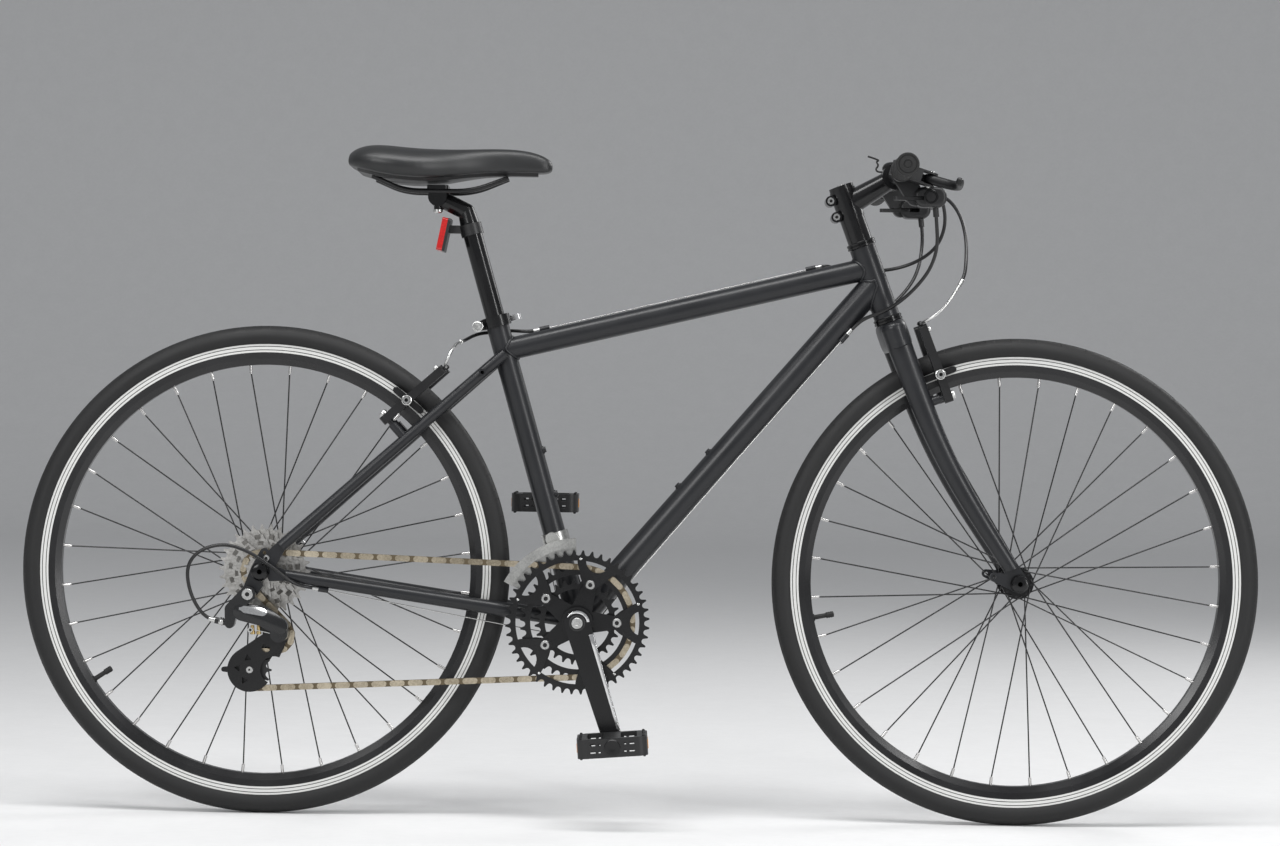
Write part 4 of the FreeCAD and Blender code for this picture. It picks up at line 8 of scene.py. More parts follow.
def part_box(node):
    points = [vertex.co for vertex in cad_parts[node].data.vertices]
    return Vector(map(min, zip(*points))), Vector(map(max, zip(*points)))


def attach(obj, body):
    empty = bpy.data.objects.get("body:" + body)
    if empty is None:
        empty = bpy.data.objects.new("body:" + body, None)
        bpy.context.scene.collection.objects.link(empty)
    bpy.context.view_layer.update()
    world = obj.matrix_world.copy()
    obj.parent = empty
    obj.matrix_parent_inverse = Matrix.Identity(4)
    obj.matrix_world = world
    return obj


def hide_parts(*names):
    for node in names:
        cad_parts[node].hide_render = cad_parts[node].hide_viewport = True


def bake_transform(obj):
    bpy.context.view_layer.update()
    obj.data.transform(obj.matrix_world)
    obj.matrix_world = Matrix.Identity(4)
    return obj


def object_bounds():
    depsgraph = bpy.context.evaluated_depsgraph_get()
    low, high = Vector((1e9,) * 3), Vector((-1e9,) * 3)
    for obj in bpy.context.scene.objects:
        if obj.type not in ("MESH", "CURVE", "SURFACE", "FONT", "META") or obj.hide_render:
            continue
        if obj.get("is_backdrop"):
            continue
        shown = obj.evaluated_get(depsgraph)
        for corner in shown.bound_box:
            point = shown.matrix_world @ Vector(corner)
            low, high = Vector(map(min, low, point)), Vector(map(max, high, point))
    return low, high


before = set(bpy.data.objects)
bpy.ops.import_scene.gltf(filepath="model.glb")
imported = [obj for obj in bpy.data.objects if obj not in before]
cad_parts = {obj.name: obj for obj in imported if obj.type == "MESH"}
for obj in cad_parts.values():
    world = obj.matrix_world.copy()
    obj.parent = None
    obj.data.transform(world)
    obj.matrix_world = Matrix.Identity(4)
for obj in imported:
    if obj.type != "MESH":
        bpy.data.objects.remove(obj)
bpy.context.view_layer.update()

# Frame and fork: round aluminium tubes, mitred and welded, then sprayed in a satin charcoal paint.
# The paint has a faint orange peel and a gloss that varies a little along each tube.


def grained(name, low, high, rough, scale=420.0, metallic=0.0, bump=0.08, coat=0.0, shine=0.5):
    """A finish whose colour, gloss and surface vary with a fine grain and a broad cloud."""
    material = bpy.data.materials.new(name)
    material.use_nodes = True
    nodes, links = material.node_tree.nodes, material.node_tree.links
    shader = nodes["Principled BSDF"]
    shader.inputs["Metallic"].default_value = metallic
    shader.inputs["Specular IOR Level"].default_value = shine
    shader.inputs["Coat Weight"].default_value = coat
    shader.inputs["Coat Roughness"].default_value = 0.12
    place = nodes.new("ShaderNodeTexCoord")
    grain = nodes.new("ShaderNodeTexNoise")
    grain.inputs["Scale"].default_value = scale
    grain.inputs["Detail"].default_value = 3.0
    links.new(place.outputs["Object"], grain.inputs["Vector"])
    cloud = nodes.new("ShaderNodeTexNoise")
    cloud.inputs["Scale"].default_value = 14.0
    cloud.inputs["Detail"].default_value = 5.0
    links.new(place.outputs["Object"], cloud.inputs["Vector"])
    half = nodes.new("ShaderNodeMath")
    half.operation = "MULTIPLY"
    half.inputs[1].default_value = 0.5
    links.new(cloud.outputs["Fac"], half.inputs[0])
    both = nodes.new("ShaderNodeMath")
    both.operation = "MULTIPLY_ADD"
    both.inputs[1].default_value = 0.5
    links.new(grain.outputs["Fac"], both.inputs[0])
    links.new(half.outputs[0], both.inputs[2])
    tint = nodes.new("ShaderNodeValToRGB")
    tint.color_ramp.elements[0].position = 0.36
    tint.color_ramp.elements[0].color = (*low, 1.0)
    tint.color_ramp.elements[1].position = 0.64
    tint.color_ramp.elements[1].color = (*high, 1.0)
    links.new(both.outputs[0], tint.inputs["Fac"])
    links.new(tint.outputs["Color"], shader.inputs["Base Color"])
    gloss = nodes.new("ShaderNodeMapRange")
    gloss.inputs["From Min"].default_value = 0.3
    gloss.inputs["From Max"].default_value = 0.7
    gloss.inputs["To Min"].default_value = rough[0]
    gloss.inputs["To Max"].default_value = rough[1]
    links.new(cloud.outputs["Fac"], gloss.inputs["Value"])
    links.new(gloss.outputs["Result"], shader.inputs["Roughness"])
    relief = nodes.new("ShaderNodeBump")
    relief.inputs["Strength"].default_value = bump
    relief.inputs["Distance"].default_value = 0.0006
    links.new(grain.outputs["Fac"], relief.inputs["Height"])
    links.new(relief.outputs["Normal"], shader.inputs["Normal"])
    return material


def dress(material, *names):
    """Give carried-over solids a finish."""
    for name in names:
        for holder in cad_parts[name].material_slots:
            holder.material = material


charcoal = grained("satin_charcoal", (0.0070, 0.0076, 0.0092), (0.0120, 0.0126, 0.0146), (0.30, 0.40),
                   scale=900.0, bump=0.05, coat=0.05, shine=0.42)
dress(charcoal, "head_tube", "top_tube", "down_tube", "seat_tube", "chain_stays", "seat_stays", "fork",
      "frame_fittings")

# Weld beads: the rippled rings of filler where one frame tube runs into the side of another.
# They lie under the same paint as the tubes.
bead = 0.0019
ripples = 64
ripple_swell = 0.16
bracket_at = Vector((-0.087, 0.0, 0.279))
crown_at = Vector((0.342465, 0.0, 0.709403))
seat_way = Vector((-0.280667, 0.0, 0.959805))
steer_way = Vector((-0.350207, 0.0, 0.936672))
top_way = Vector((0.971859, 0.0, 0.235564))
down_way = Vector((0.649224, 0.0, 0.760597))
left = Vector((0.0, 1.0, 0.0))
head_radius = 0.0185
top_radius = 0.0159
down_radius = 0.019
seat_radius = 0.0159
seat_skin = 0.0162
shell_radius = 0.0202
stay_radius = 0.011


def weld(name, start, way, radius, main_at, main_way, main_radius):
    """A rippled bead where a branch tube, run from its start, meets the side of a main tube."""
    line = bpy.data.curves.new(name, "CURVE")
    line.dimensions = "3D"
    line.bevel_depth = 1.0
    line.bevel_resolution = 2
    ring = line.splines.new("POLY")
    ring.points.add(ripples - 1)
    first = way.orthogonal().normalized()
    second = way.cross(first)
    flat_way = way - main_way * way.dot(main_way)
    for number, knot in enumerate(ring.points):
        turn = math.tau * number / ripples
        place = start + (first * math.cos(turn) + second * math.sin(turn)) * radius
        away = place - main_at
        away = away - main_way * away.dot(main_way)
        reach = flat_way.dot(away)
        inside = max(0.0, reach ** 2 - flat_way.length_squared * (away.length_squared - main_radius ** 2))
        along = (-reach - math.sqrt(inside)) / flat_way.length_squared
        knot.co = (*(place + way * along), 1.0)
        knot.radius = bead * (1.0 + ripple_swell * (number % 2))
    ring.use_cyclic_u = True
    line.materials.append(charcoal)
    piece = bpy.data.objects.new(name, line)
    bpy.context.collection.objects.link(piece)
    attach(piece, "frame")


top_start = bracket_at + seat_way * 0.394 + top_way * 0.2
down_start = bracket_at + down_way * 0.3
seat_start = bracket_at + seat_way * 0.2
weld("top_tube_front_weld", top_start, top_way, top_radius, crown_at, steer_way, head_radius)
weld("top_tube_rear_weld", top_start, -top_way, top_radius, bracket_at, seat_way, seat_skin)
weld("down_tube_front_weld", down_start, down_way, down_radius, crown_at, steer_way, head_radius)
weld("down_tube_rear_weld", down_start, -down_way, down_radius, bracket_at, left, shell_radius)
weld("seat_tube_weld", seat_start, -seat_way, seat_radius, bracket_at, left, shell_radius)
for side, name in ((1, "left_chain_stay_weld"), (-1, "right_chain_stay_weld")):
    stay_foot = Vector((-0.4935, side * 0.0705, 0.338))
    stay_head = bracket_at + left * (side * 0.021)
    weld(name, stay_foot, (stay_head - stay_foot).normalized(), stay_radius, bracket_at, left, shell_radius)

# Stem, headset and handlebar: forged and turned aluminium under a deep gloss black, clamped by screws.
# Two pinch screws close the stem on the steerer, and four hold its faceplate over the bar.


def finish(shape, name, body, slot, *materials):
    """Turn a worked mesh into a piece that rides on a body."""
    bmesh.ops.remove_doubles(shape, verts=shape.verts, dist=1e-6)
    bmesh.ops.recalc_face_normals(shape, faces=shape.faces)
    mesh = bpy.data.meshes.new(name)
    shape.to_mesh(mesh)
    shape.free()
    for material in materials:
        mesh.materials.append(material)
    mesh.shade_smooth()
    mesh.set_sharp_from_angle(angle=math.radians(32.0))
    piece = bpy.data.objects.new(name, mesh)
    bpy.context.collection.objects.link(piece)
    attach(piece, body)
    return piece


def turn_in(shape, start, way, profile, dark=0.0, steps=20):
    """Spin a profile of (along, radius) pairs about a line, with a second finish inside a dark radius."""
    before = set(shape.verts)
    old_faces = set(shape.faces)
    row = [shape.verts.new((radius, 0.0, along)) for along, radius in profile]
    edges = [shape.edges.new(pair) for pair in zip(row, row[1:])]
    bmesh.ops.spin(shape, geom=row + edges, cent=(0, 0, 0), axis=(0, 0, 1), angle=math.tau, steps=steps,
                   use_merge=True)
    for face in shape.faces:
        if face not in old_faces:
            middle = face.calc_center_median()
            face.material_index = 1 if math.hypot(middle.x, middle.y) < dark else 0
    place = Matrix.Translation(start) @ Vector(way).to_track_quat("Z", "Y").to_matrix().to_4x4()
    bmesh.ops.transform(shape, matrix=place, verts=[v for v in shape.verts if v not in before])


def screw_in(shape, start, way, radius, height, socket, steps=20):
    """A round screw head whose socket for a key is painted near black, as painted shade in the recess."""
    shoulder, bottom = height * 0.7, height * 0.3
    profile = [(0.0, radius), (shoulder, radius), (height, radius * 0.86), (height, socket),
               (bottom, socket), (bottom, 0.0)]
    turn_in(shape, start, way, profile, socket, steps)


gloss_black = grained("gloss_black_alloy", (0.0030, 0.0030, 0.0034), (0.0065, 0.0065, 0.0070), (0.14, 0.24),
                      scale=500.0, bump=0.03, coat=0.1, shine=0.34)
bright = grained("plated_steel", (0.46, 0.46, 0.45), (0.66, 0.66, 0.65), (0.20, 0.34), scale=800.0,
                 metallic=1.0, bump=0.04)
# Painted shade: a near-black finish laid on the inner faces of screw and bolt sockets, where shade falls in
# the recess.
shadow = grained("painted_socket_shade", (0.003, 0.003, 0.003), (0.006, 0.006, 0.006), (0.5, 0.6), scale=900.0)
dress(gloss_black, "headset_cups", "headset_spacers", "stem", "handlebar")
bar_centre = Vector((0.348729, 0.0, 0.910511))
stem_way = Vector((0.856924, 0.0, 0.515443))
stem_side = Vector((-0.515443, 0.0, 0.856924))
pinch_lugs = ((0.258357, -0.0150, 0.874396), (0.266762, -0.0150, 0.851916))
plate_face = 0.0105
plate_half_tall = 0.0150
plate_half_wide = 0.014
top_cap_at = Vector((0.273824, 0.0, 0.892991)) + steer_way * 0.0038
heads = bmesh.new()
for lug in pinch_lugs:
    screw_in(heads, Vector(lug), -left, 0.0050, 0.0030, 0.0022)
for step in (1, -1):
    for side in (1, -1):
        corner = bar_centre + stem_side * (plate_half_tall * step) + left * (plate_half_wide * side)
        screw_in(heads, corner + stem_way * plate_face, stem_way, 0.0042, 0.0050, 0.0019)
screw_in(heads, top_cap_at, steer_way, 0.0050, 0.0022, 0.0024)
finish(heads, "stem_screws", "fork", "bright_steel", bright, shadow)
cup = [(0.0, 0.0148), (0.0, 0.0190), (0.0012, 0.0206), (0.0036, 0.0206), (0.0042, 0.0197), (0.0050, 0.0197),
       (0.0056, 0.0206), (0.0080, 0.0206), (0.0090, 0.0192), (0.0090, 0.0148), (0.0, 0.0148)]
cups = {"lower_cup": (crown_at + steer_way * 0.0045, -steer_way),
        "upper_cup": (crown_at + steer_way * 0.1080, steer_way)}
for name, (base, way) in cups.items():
    ring = bmesh.new()
    turn_in(ring, base, way, cup, steps=48)
    piece = finish(ring, name, "frame", "black_alloy", gloss_black)
    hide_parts("headset_cups")

# Fork crown: a forged shoulder that the blades and the steerer are brazed into, rounded on all sides.
# It carries the same paint as the frame.


def loft(rings, name, body, slot, *materials):
    """A closed skin over a row of rings that have as many points each."""
    shape = bmesh.new()
    loops = []
    for ring in rings:
        knots = [shape.verts.new(place) for place in ring]
        loops.append([shape.edges.new(pair) for pair in zip(knots, knots[1:] + knots[:1])])
    for first, second in zip(loops, loops[1:]):
        bmesh.ops.bridge_loops(shape, edges=first + second)
    bmesh.ops.holes_fill(shape, edges=loops[0] + loops[-1], sides=0)
    return finish(shape, name, body, slot, *materials)


def rounded(points, power):
    """The points of a rounded square of half size one."""
    outline = []
    for number in range(points):
        turn = math.tau * number / points
        across, up = math.cos(turn), math.sin(turn)
        outline.append((math.copysign(abs(across) ** (2 / power), across),
                        math.copysign(abs(up) ** (2 / power), up)))
    return outline


steer_ahead = Vector((0.936672, 0.0, 0.350207))
crown_wide = 0.0600
crown_deep = 0.0212
crown_levels = ((-0.0440, 0.80), (-0.0434, 0.88), (-0.0415, 0.94), (-0.0380, 0.98), (-0.0330, 1.0),
                (-0.0180, 1.0), (-0.0120, 0.985), (-0.0080, 0.95), (-0.0055, 0.90), (-0.0044, 0.84))
crown_outline = rounded(64, 2.6)
rings = []
for level, scale in crown_levels:
    middle = crown_at + steer_way * level
    wide, deep = left * (crown_wide * scale), steer_ahead * (crown_deep * scale)
    rings.append([middle + wide * a + deep * b for a, b in crown_outline])
loft(rings, "crown_shoulder", "fork", "frame_paint", charcoal)

# Grips: ribbed black rubber sleeves, pushed on the ends of the bar.
# Each is moulded in one piece, with a flange inside and rings round its closed end.
grip_rubber = grained("grip_rubber", (0.006, 0.006, 0.006), (0.012, 0.012, 0.012), (0.50, 0.64), scale=900.0,
                      bump=0.3, shine=0.4)
grip_ribs = 22
rib_start = 0.0062
rib_pitch = 0.0050
ridge = 0.0154
groove = 0.0148
grip = [(0.0, 0.0112), (0.0, 0.0160), (0.0008, 0.0165), (0.0036, 0.0165), (0.0042, ridge)]
for rib in range(grip_ribs):
    first = rib_start + rib * rib_pitch
    grip += [(first, ridge), (first + 0.0006, groove), (first + 0.0016, groove), (first + 0.0022, ridge)]
grip += [(0.1200, 0.0155), (0.1246, 0.0155), (0.1260, 0.0146), (0.1260, 0.0126), (0.1252, 0.0122),
         (0.1252, 0.0112), (0.1260, 0.0108), (0.1264, 0.0060), (0.1256, 0.0054), (0.1256, 0.0044),
         (0.1264, 0.0040), (0.1264, 0.0)]
for side, name in ((1, "left_grip_sleeve"), (-1, "right_grip_sleeve")):
    start = Vector((0.345805, side * 0.168, 0.908074))
    end = Vector((0.342729, side * 0.290, 0.905511))
    sleeve = bmesh.new()
    turn_in(sleeve, start, end - start, grip, steps=48)
    piece = finish(sleeve, name, "fork", "grip_rubber", grip_rubber)
    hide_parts("grips")

# Brake levers and gear pods: cast levers in satin black on perches, and nylon pods below the bar.
# Small plated screws hold their clamps, and threaded barrels take up the cables.
nylon = grained("black_nylon", (0.0060, 0.0060, 0.0065), (0.0120, 0.0120, 0.0125), (0.34, 0.46),
                scale=1200.0, bump=0.16)
satin_black = grained("satin_black", (0.0050, 0.0050, 0.0055), (0.0095, 0.0095, 0.0100), (0.36, 0.46),
                      scale=700.0, bump=0.05, shine=0.36)
dress(nylon, "control_bodies", "left_shift_trigger", "right_shift_trigger")
dress(satin_black, "left_brake_lever", "right_brake_lever")
lever_way = Vector((0.956305, 0.0, -0.292372))
lever_axis = Vector((0.292372, 0.0, 0.956305))
perches = {side: Vector((0.346259, side * 0.150, 0.908452)) for side in (1, -1)}
blade_outline = rounded(20, 2.8)
blade_rows = (  # ahead of the perch, out along the bar, half depth, half height
    (0.0335, -0.0040, 0.0022, 0.0040), (0.0345, -0.0035, 0.0050, 0.0062), (0.0400, 0.0, 0.0066, 0.0070),
    (0.0500, 0.0055, 0.0064, 0.0070), (0.0620, 0.0120, 0.0060, 0.0068), (0.0710, 0.0190, 0.0056, 0.0066),
    (0.0762, 0.0290, 0.0052, 0.0064), (0.0780, 0.0420, 0.0050, 0.0062), (0.0775, 0.0560, 0.0049, 0.0060),
    (0.0760, 0.0720, 0.0049, 0.0059), (0.0740, 0.0880, 0.0050, 0.0058), (0.0728, 0.0960, 0.0048, 0.0055),
    (0.0722, 0.0995, 0.0036, 0.0044), (0.0720, 0.1008, 0.0018, 0.0024))
for side, name in ((1, "left_brake_lever"), (-1, "right_brake_lever")):
    root = perches[side]
    middles = [root + lever_way * ahead + left * (side * out) for ahead, out, deep, tall in blade_rows]
    last = len(middles) - 1
    rings = []
    for n, (ahead, out, deep, tall) in enumerate(blade_rows):
        along = (middles[min(n + 1, last)] - middles[max(n - 1, 0)]).normalized()
        across = lever_axis.cross(along)
        rings.append([middles[n] + across * (deep * a) + lever_axis * (tall * b) for a, b in blade_outline])
    piece = loft(rings, name + "_blade", name, "black_alloy", satin_black)
    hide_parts(name)
pivot_ahead = 0.040
pivot_half = 0.0100
barrel_ahead = 0.034
barrel_in = 0.0262
knurl = [(0.0, 0.0030), (0.0, 0.0050), (0.0010, 0.0056), (0.0022, 0.0050), (0.0034, 0.0056),
         (0.0046, 0.0050), (0.0052, 0.0040), (0.0052, 0.0)]
fittings = bmesh.new()
for side, perch_at in perches.items():
    pivot = perch_at + lever_way * pivot_ahead
    for way in (lever_axis, -lever_axis):
        screw_in(fittings, pivot + way * pivot_half, way, 0.0040, 0.0018, 0.0018)
    barrel_at = perch_at + lever_way * barrel_ahead - left * (side * barrel_in)
    turn_in(fittings, barrel_at + left * (side * 0.0060), -left * side, knurl)
finish(fittings, "lever_screws", "fork", "bright_steel", bright, shadow)
pod_dish = 0.0066
pod_cap = [(0.0, 0.0100), (0.0006, 0.0100), (0.0010, 0.0094), (0.0010, 0.0070), (0.0004, pod_dish),
           (0.0004, 0.0)]
pod_caps = bmesh.new()
for side in (1, -1):
    turn_in(pod_caps, Vector((0.387965, side * 0.1371, 0.874040)), left * side, pod_cap, pod_dish, 32)
finish(pod_caps, "pod_caps", "fork", "black_plastic", gloss_black, nylon)

# Bell: a small black dome on a strap that is screwed round the bar, left of the stem.
# A thin sprung striker, bent from wire, stands out behind it.
bell_at = Vector((0.350, 0.072, 0.926))
strap_at = Vector((0.3485, 0.066, 0.9103))
dome_profile = [(-0.0030, 0.0), (-0.0030, 0.0050), (0.0, 0.0060), (0.0, 0.0135), (0.0012, 0.0142),
                (0.0040, 0.0140), (0.0080, 0.0120), (0.0108, 0.0080), (0.0120, 0.0030), (0.0121, 0.0)]
strap_profile = [(0.0, 0.0128), (0.0, 0.0142), (0.012, 0.0142), (0.012, 0.0128)]
dome = bmesh.new()
turn_in(dome, bell_at, (0.0, 0.0, 1.0), dome_profile, steps=32)
turn_in(dome, strap_at, left, strap_profile, steps=32)
finish(dome, "bell", "fork", "black_plastic", gloss_black)
striker_radius = 0.0014
bends = [(0.3400, 0.072, 0.924), (0.3310, 0.072, 0.9225), (0.3262, 0.072, 0.927), (0.3310, 0.072, 0.933),
         (0.3270, 0.072, 0.9385), (0.3330, 0.072, 0.9405), (0.3150, 0.072, 0.9455)]
striker = bpy.data.curves.new("bell_striker", "CURVE")
striker.dimensions = "3D"
striker.bevel_depth = 1.0
striker.bevel_resolution = 3
striker.use_fill_caps = True
run = striker.splines.new("NURBS")
run.points.add(len(bends) - 1)
for knot, place in zip(run.points, bends):
    knot.co = (*place, 1.0)
    knot.radius = striker_radius
run.order_u = 3
run.use_endpoint_u = True
striker.materials.append(gloss_black)
piece = bpy.data.objects.new("bell_striker", striker)
bpy.context.collection.objects.link(piece)
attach(piece, "fork")

# Wheels: black box-section rims with a machined brake track, black spokes and plated nipples.
# The track is turned bright and has two fine wear grooves.


def at_place(material):
    """The position on the piece, as a socket of a finish."""
    place = material.node_tree.nodes.new("ShaderNodeTexCoord")
    return place.outputs["Object"]


def near(material, value, middle, half):
    """A mask that is one where a value lies within a reach of a middle."""
    test = material.node_tree.nodes.new("ShaderNodeMath")
    test.operation = "COMPARE"
    test.inputs[1].default_value = middle
    test.inputs[2].default_value = half
    material.node_tree.links.new(value, test.inputs[0])
    return test.outputs[0]


def both_of(material, first, second):
    """The part that two masks share."""
    joined = material.node_tree.nodes.new("ShaderNodeMath")
    joined.operation = "MULTIPLY"
    material.node_tree.links.new(first, joined.inputs[0])
    material.node_tree.links.new(second, joined.inputs[1])
    return joined.outputs[0]


def from_axle(material, centre):
    """The place relative to a crosswise axle, flattened, as a socket."""
    nodes, links = material.node_tree.nodes, material.node_tree.links
    away = nodes.new("ShaderNodeVectorMath")
    away.operation = "SUBTRACT"
    away.inputs[1].default_value = centre
    links.new(at_place(material), away.inputs[0])
    flat = nodes.new("ShaderNodeVectorMath")
    flat.operation = "MULTIPLY"
    flat.inputs[1].default_value = (1.0, 0.0, 1.0)
    links.new(away.outputs[0], flat.inputs[0])
    return flat.outputs[0]


def round_about(material, centre):
    """The distance from a crosswise axle, as a socket."""
    size = material.node_tree.nodes.new("ShaderNodeVectorMath")
    size.operation = "LENGTH"
    material.node_tree.links.new(from_axle(material, centre), size.inputs[0])
    return size.outputs["Value"]


def laid_over(material, mask, colour, rough, metallic):
    """Lay another finish over part of a surface."""
    nodes, links = material.node_tree.nodes, material.node_tree.links
    shader = nodes["Principled BSDF"]
    blend = nodes.new("ShaderNodeMix")
    blend.data_type = "RGBA"
    links.new(mask, blend.inputs["Factor"])
    links.new(shader.inputs["Base Color"].links[0].from_socket, blend.inputs[6])
    blend.inputs[7].default_value = (*colour, 1.0)
    links.new(blend.outputs[2], shader.inputs["Base Color"])
    for socket, value in (("Roughness", rough), ("Metallic", metallic)):
        mix = nodes.new("ShaderNodeMix")
        links.new(mask, mix.inputs["Factor"])
        if shader.inputs[socket].links:
            links.new(shader.inputs[socket].links[0].from_socket, mix.inputs[2])
        else:
            mix.inputs[2].default_value = shader.inputs[socket].default_value
        mix.inputs[3].default_value = value
        links.new(mix.outputs[0], shader.inputs[socket])


wheels = {"front": (0.5275, 0.0, 0.343), "rear": (-0.5275, 0.0, 0.343)}
track_middle = 0.3113
track_half = 0.0058
wear_grooves = (0.3088, 0.3138)
groove_half = 0.00055
nipple_middle = 0.2850
nipple_half = 0.0090
for end, hub_at in wheels.items():
    rim = grained(end + "_rim_black", (0.006, 0.006, 0.0065), (0.012, 0.012, 0.013), (0.20, 0.30),
                  scale=600.0, bump=0.03)
    out = round_about(rim, hub_at)
    laid_over(rim, near(rim, out, track_middle, track_half), (0.72, 0.72, 0.70), 0.36, 0.45)
    for wear in wear_grooves:
        laid_over(rim, near(rim, out, wear, groove_half), (0.03, 0.03, 0.03), 0.5, 0.4)
    dress(rim, end + "_rim")
    spoke = grained(end + "_spoke_black", (0.005, 0.005, 0.0055), (0.010, 0.010, 0.011), (0.20, 0.30),
                    scale=800.0)
    nipples = near(spoke, round_about(spoke, hub_at), nipple_middle, nipple_half)
    laid_over(spoke, nipples, (0.60, 0.59, 0.58), 0.25, 1.0)
    dress(spoke, end + "_spokes")

# Tyres: black moulded rubber, round in section, with a band of shallow blocks along the tread.
# A thin raised line runs round each sidewall just above the rim.
crown = 0.343
half_width = 0.016
rim_edge = 0.3174
tuck_half = 0.0090
tuck_deep = 0.0006
line_rise = 0.0004
tread_rise = 0.004
tread_from = 0.0035
tread_to = 0.0125
section_rows = 25
tyre_steps = 180
rubber = grained("tyre_rubber", (0.0060, 0.0060, 0.0062), (0.0130, 0.0130, 0.0132), (0.52, 0.70),
                 scale=700.0, bump=0.25, shine=0.4)
for end, hub_at in wheels.items():
    shape = bmesh.new()
    middle = crown - half_width
    low = math.asin((rim_edge - middle) / half_width)
    section = []
    for row in range(section_rows):
        turn = low + (math.pi - 2 * low) * row / (section_rows - 1)
        swell = half_width + (line_rise if row in (4, section_rows - 5) else 0.0)
        out = middle + swell * math.sin(turn)
        section.append(shape.verts.new((hub_at[0], swell * math.cos(turn), hub_at[2] + out)))
    tuck = hub_at[2] + rim_edge - tuck_deep
    tucked = [shape.verts.new((hub_at[0], side * tuck_half, tuck)) for side in (1, -1)]
    knots = [tucked[0]] + section + [tucked[1]]
    ring = [shape.edges.new(pair) for pair in zip(knots, knots[1:] + knots[:1])]
    bmesh.ops.spin(shape, geom=knots + ring, cent=hub_at, axis=(0, 1, 0), angle=math.tau, steps=tyre_steps,
                   use_merge=True)
    bmesh.ops.remove_doubles(shape, verts=shape.verts, dist=1e-6)
    bmesh.ops.recalc_face_normals(shape, faces=shape.faces)
    blocks = []
    for face in shape.faces:
        seen = face.calc_center_median() - Vector(hub_at)
        out = math.hypot(seen.x, seen.z)
        beat = int(round(math.atan2(seen.z, seen.x) / math.tau * tyre_steps - 0.5)) % 3
        if out > middle + tread_rise and tread_from < abs(seen.y) < tread_to and beat:
            blocks.append(face)
    bmesh.ops.inset_region(shape, faces=blocks, thickness=0.0004, depth=-0.0005, use_boundary=True)
    piece = finish(shape, end + "_tyre_tread", end + "_wheel", "tyre_rubber", rubber)
    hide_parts(end + "_tyre")

# Valves: brass stems in a rubber sleeve, pushed through the rim's inner wall.
# A nut holds each one on the rim, and a ribbed plastic cap closes it.
valve_turns = {"front": 191.0, "rear": 213.6}
valve_seat = 0.2885
valve = [(0.0, 0.0050), (0.0020, 0.0050), (0.0024, 0.0034), (0.0180, 0.0032), (0.0184, 0.0040),
         (0.0195, 0.0044), (0.0210, 0.0040), (0.0225, 0.0044), (0.0240, 0.0040), (0.0255, 0.0044),
         (0.0290, 0.0040), (0.0300, 0.0)]
for end, turn in valve_turns.items():
    way = Vector((math.cos(math.radians(turn)), 0.0, math.sin(math.radians(turn))))
    shape = bmesh.new()
    turn_in(shape, Vector(wheels[end]) + way * valve_seat, -way, valve)
    finish(shape, end + "_valve", end + "_wheel", "tyre_rubber", grip_rubber)

# Hubs and axles: turned black shells on plated axles, held by quick-release skewers with polished levers.
# A domed black nut closes the drive side of each skewer.
polished = grained("polished_alloy", (0.62, 0.62, 0.62), (0.80, 0.80, 0.80), (0.12, 0.22), scale=600.0,
                   metallic=1.0, bump=0.03)
dress(gloss_black, "front_hub", "rear_hub")
dress(bright, "front_axle", "rear_axle")
dress(polished, "front_qr_lever", "rear_qr_lever", "seat_qr_lever")
nut_dish = 0.0008
for end, body, plate in (("front", "fork", -0.0560), ("rear", "frame", -0.0735)):
    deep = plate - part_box(end + "_axle")[0][1] + nut_dish
    nut = [(0.0, 0.0), (0.0, 0.0128), (deep * 0.35, 0.0128), (deep * 0.45, 0.0118), (deep * 0.80, 0.0114),
           (deep * 0.93, 0.0100), (deep, 0.0070), (deep, 0.0034), (deep - nut_dish, 0.0030),
           (deep - nut_dish, 0.0)]
    cap = bmesh.new()
    turn_in(cap, Vector((wheels[end][0], plate, wheels[end][2])), -left, nut, steps=36)
    finish(cap, end + "_axle_nut", body, "black_plastic", gloss_black)
eyelet_screw = bmesh.new()
screw_in(eyelet_screw, Vector((-0.5195, -0.0733, 0.3615)), -left, 0.0046, 0.0026, 0.0020)
finish(eyelet_screw, "eyelet_screw", "frame", "bright_steel", bright, shadow)

# Seat post, collar and saddle clamp: drawn and forged aluminium under gloss black.
# A quick-release bolt with a plated nut closes the collar, and a plated screw holds the saddle clamp.
dress(gloss_black, "seatpost", "saddle_clamp", "seat_collar")
washer = [(0.0, 0.0076), (0.0014, 0.0076), (0.0018, 0.0068), (0.0018, 0.0)]
round_nut = [(0.0, 0.0066), (0.0010, 0.0066), (0.0018, 0.0056), (0.0018, 0.0026), (0.0010, 0.0)]
collar_nut = bmesh.new()
turn_in(collar_nut, Vector((-0.23529, -0.0090, 0.68990)), -left, washer, steps=24)
turn_in(collar_nut, Vector((-0.23529, -0.0156, 0.68990)), -left, round_nut, steps=24)
finish(collar_nut, "collar_nut", "frame", "bright_steel", bright)
clamp_screw = bmesh.new()
screw_in(clamp_screw, Vector((-0.29437, 0.0, 0.85400)), (0.0, 0.0, -1.0), 0.0068, 0.0050, 0.0030, 24)
finish(clamp_screw, "saddle_clamp_screw", "seatpost", "bright_steel", bright, shadow)

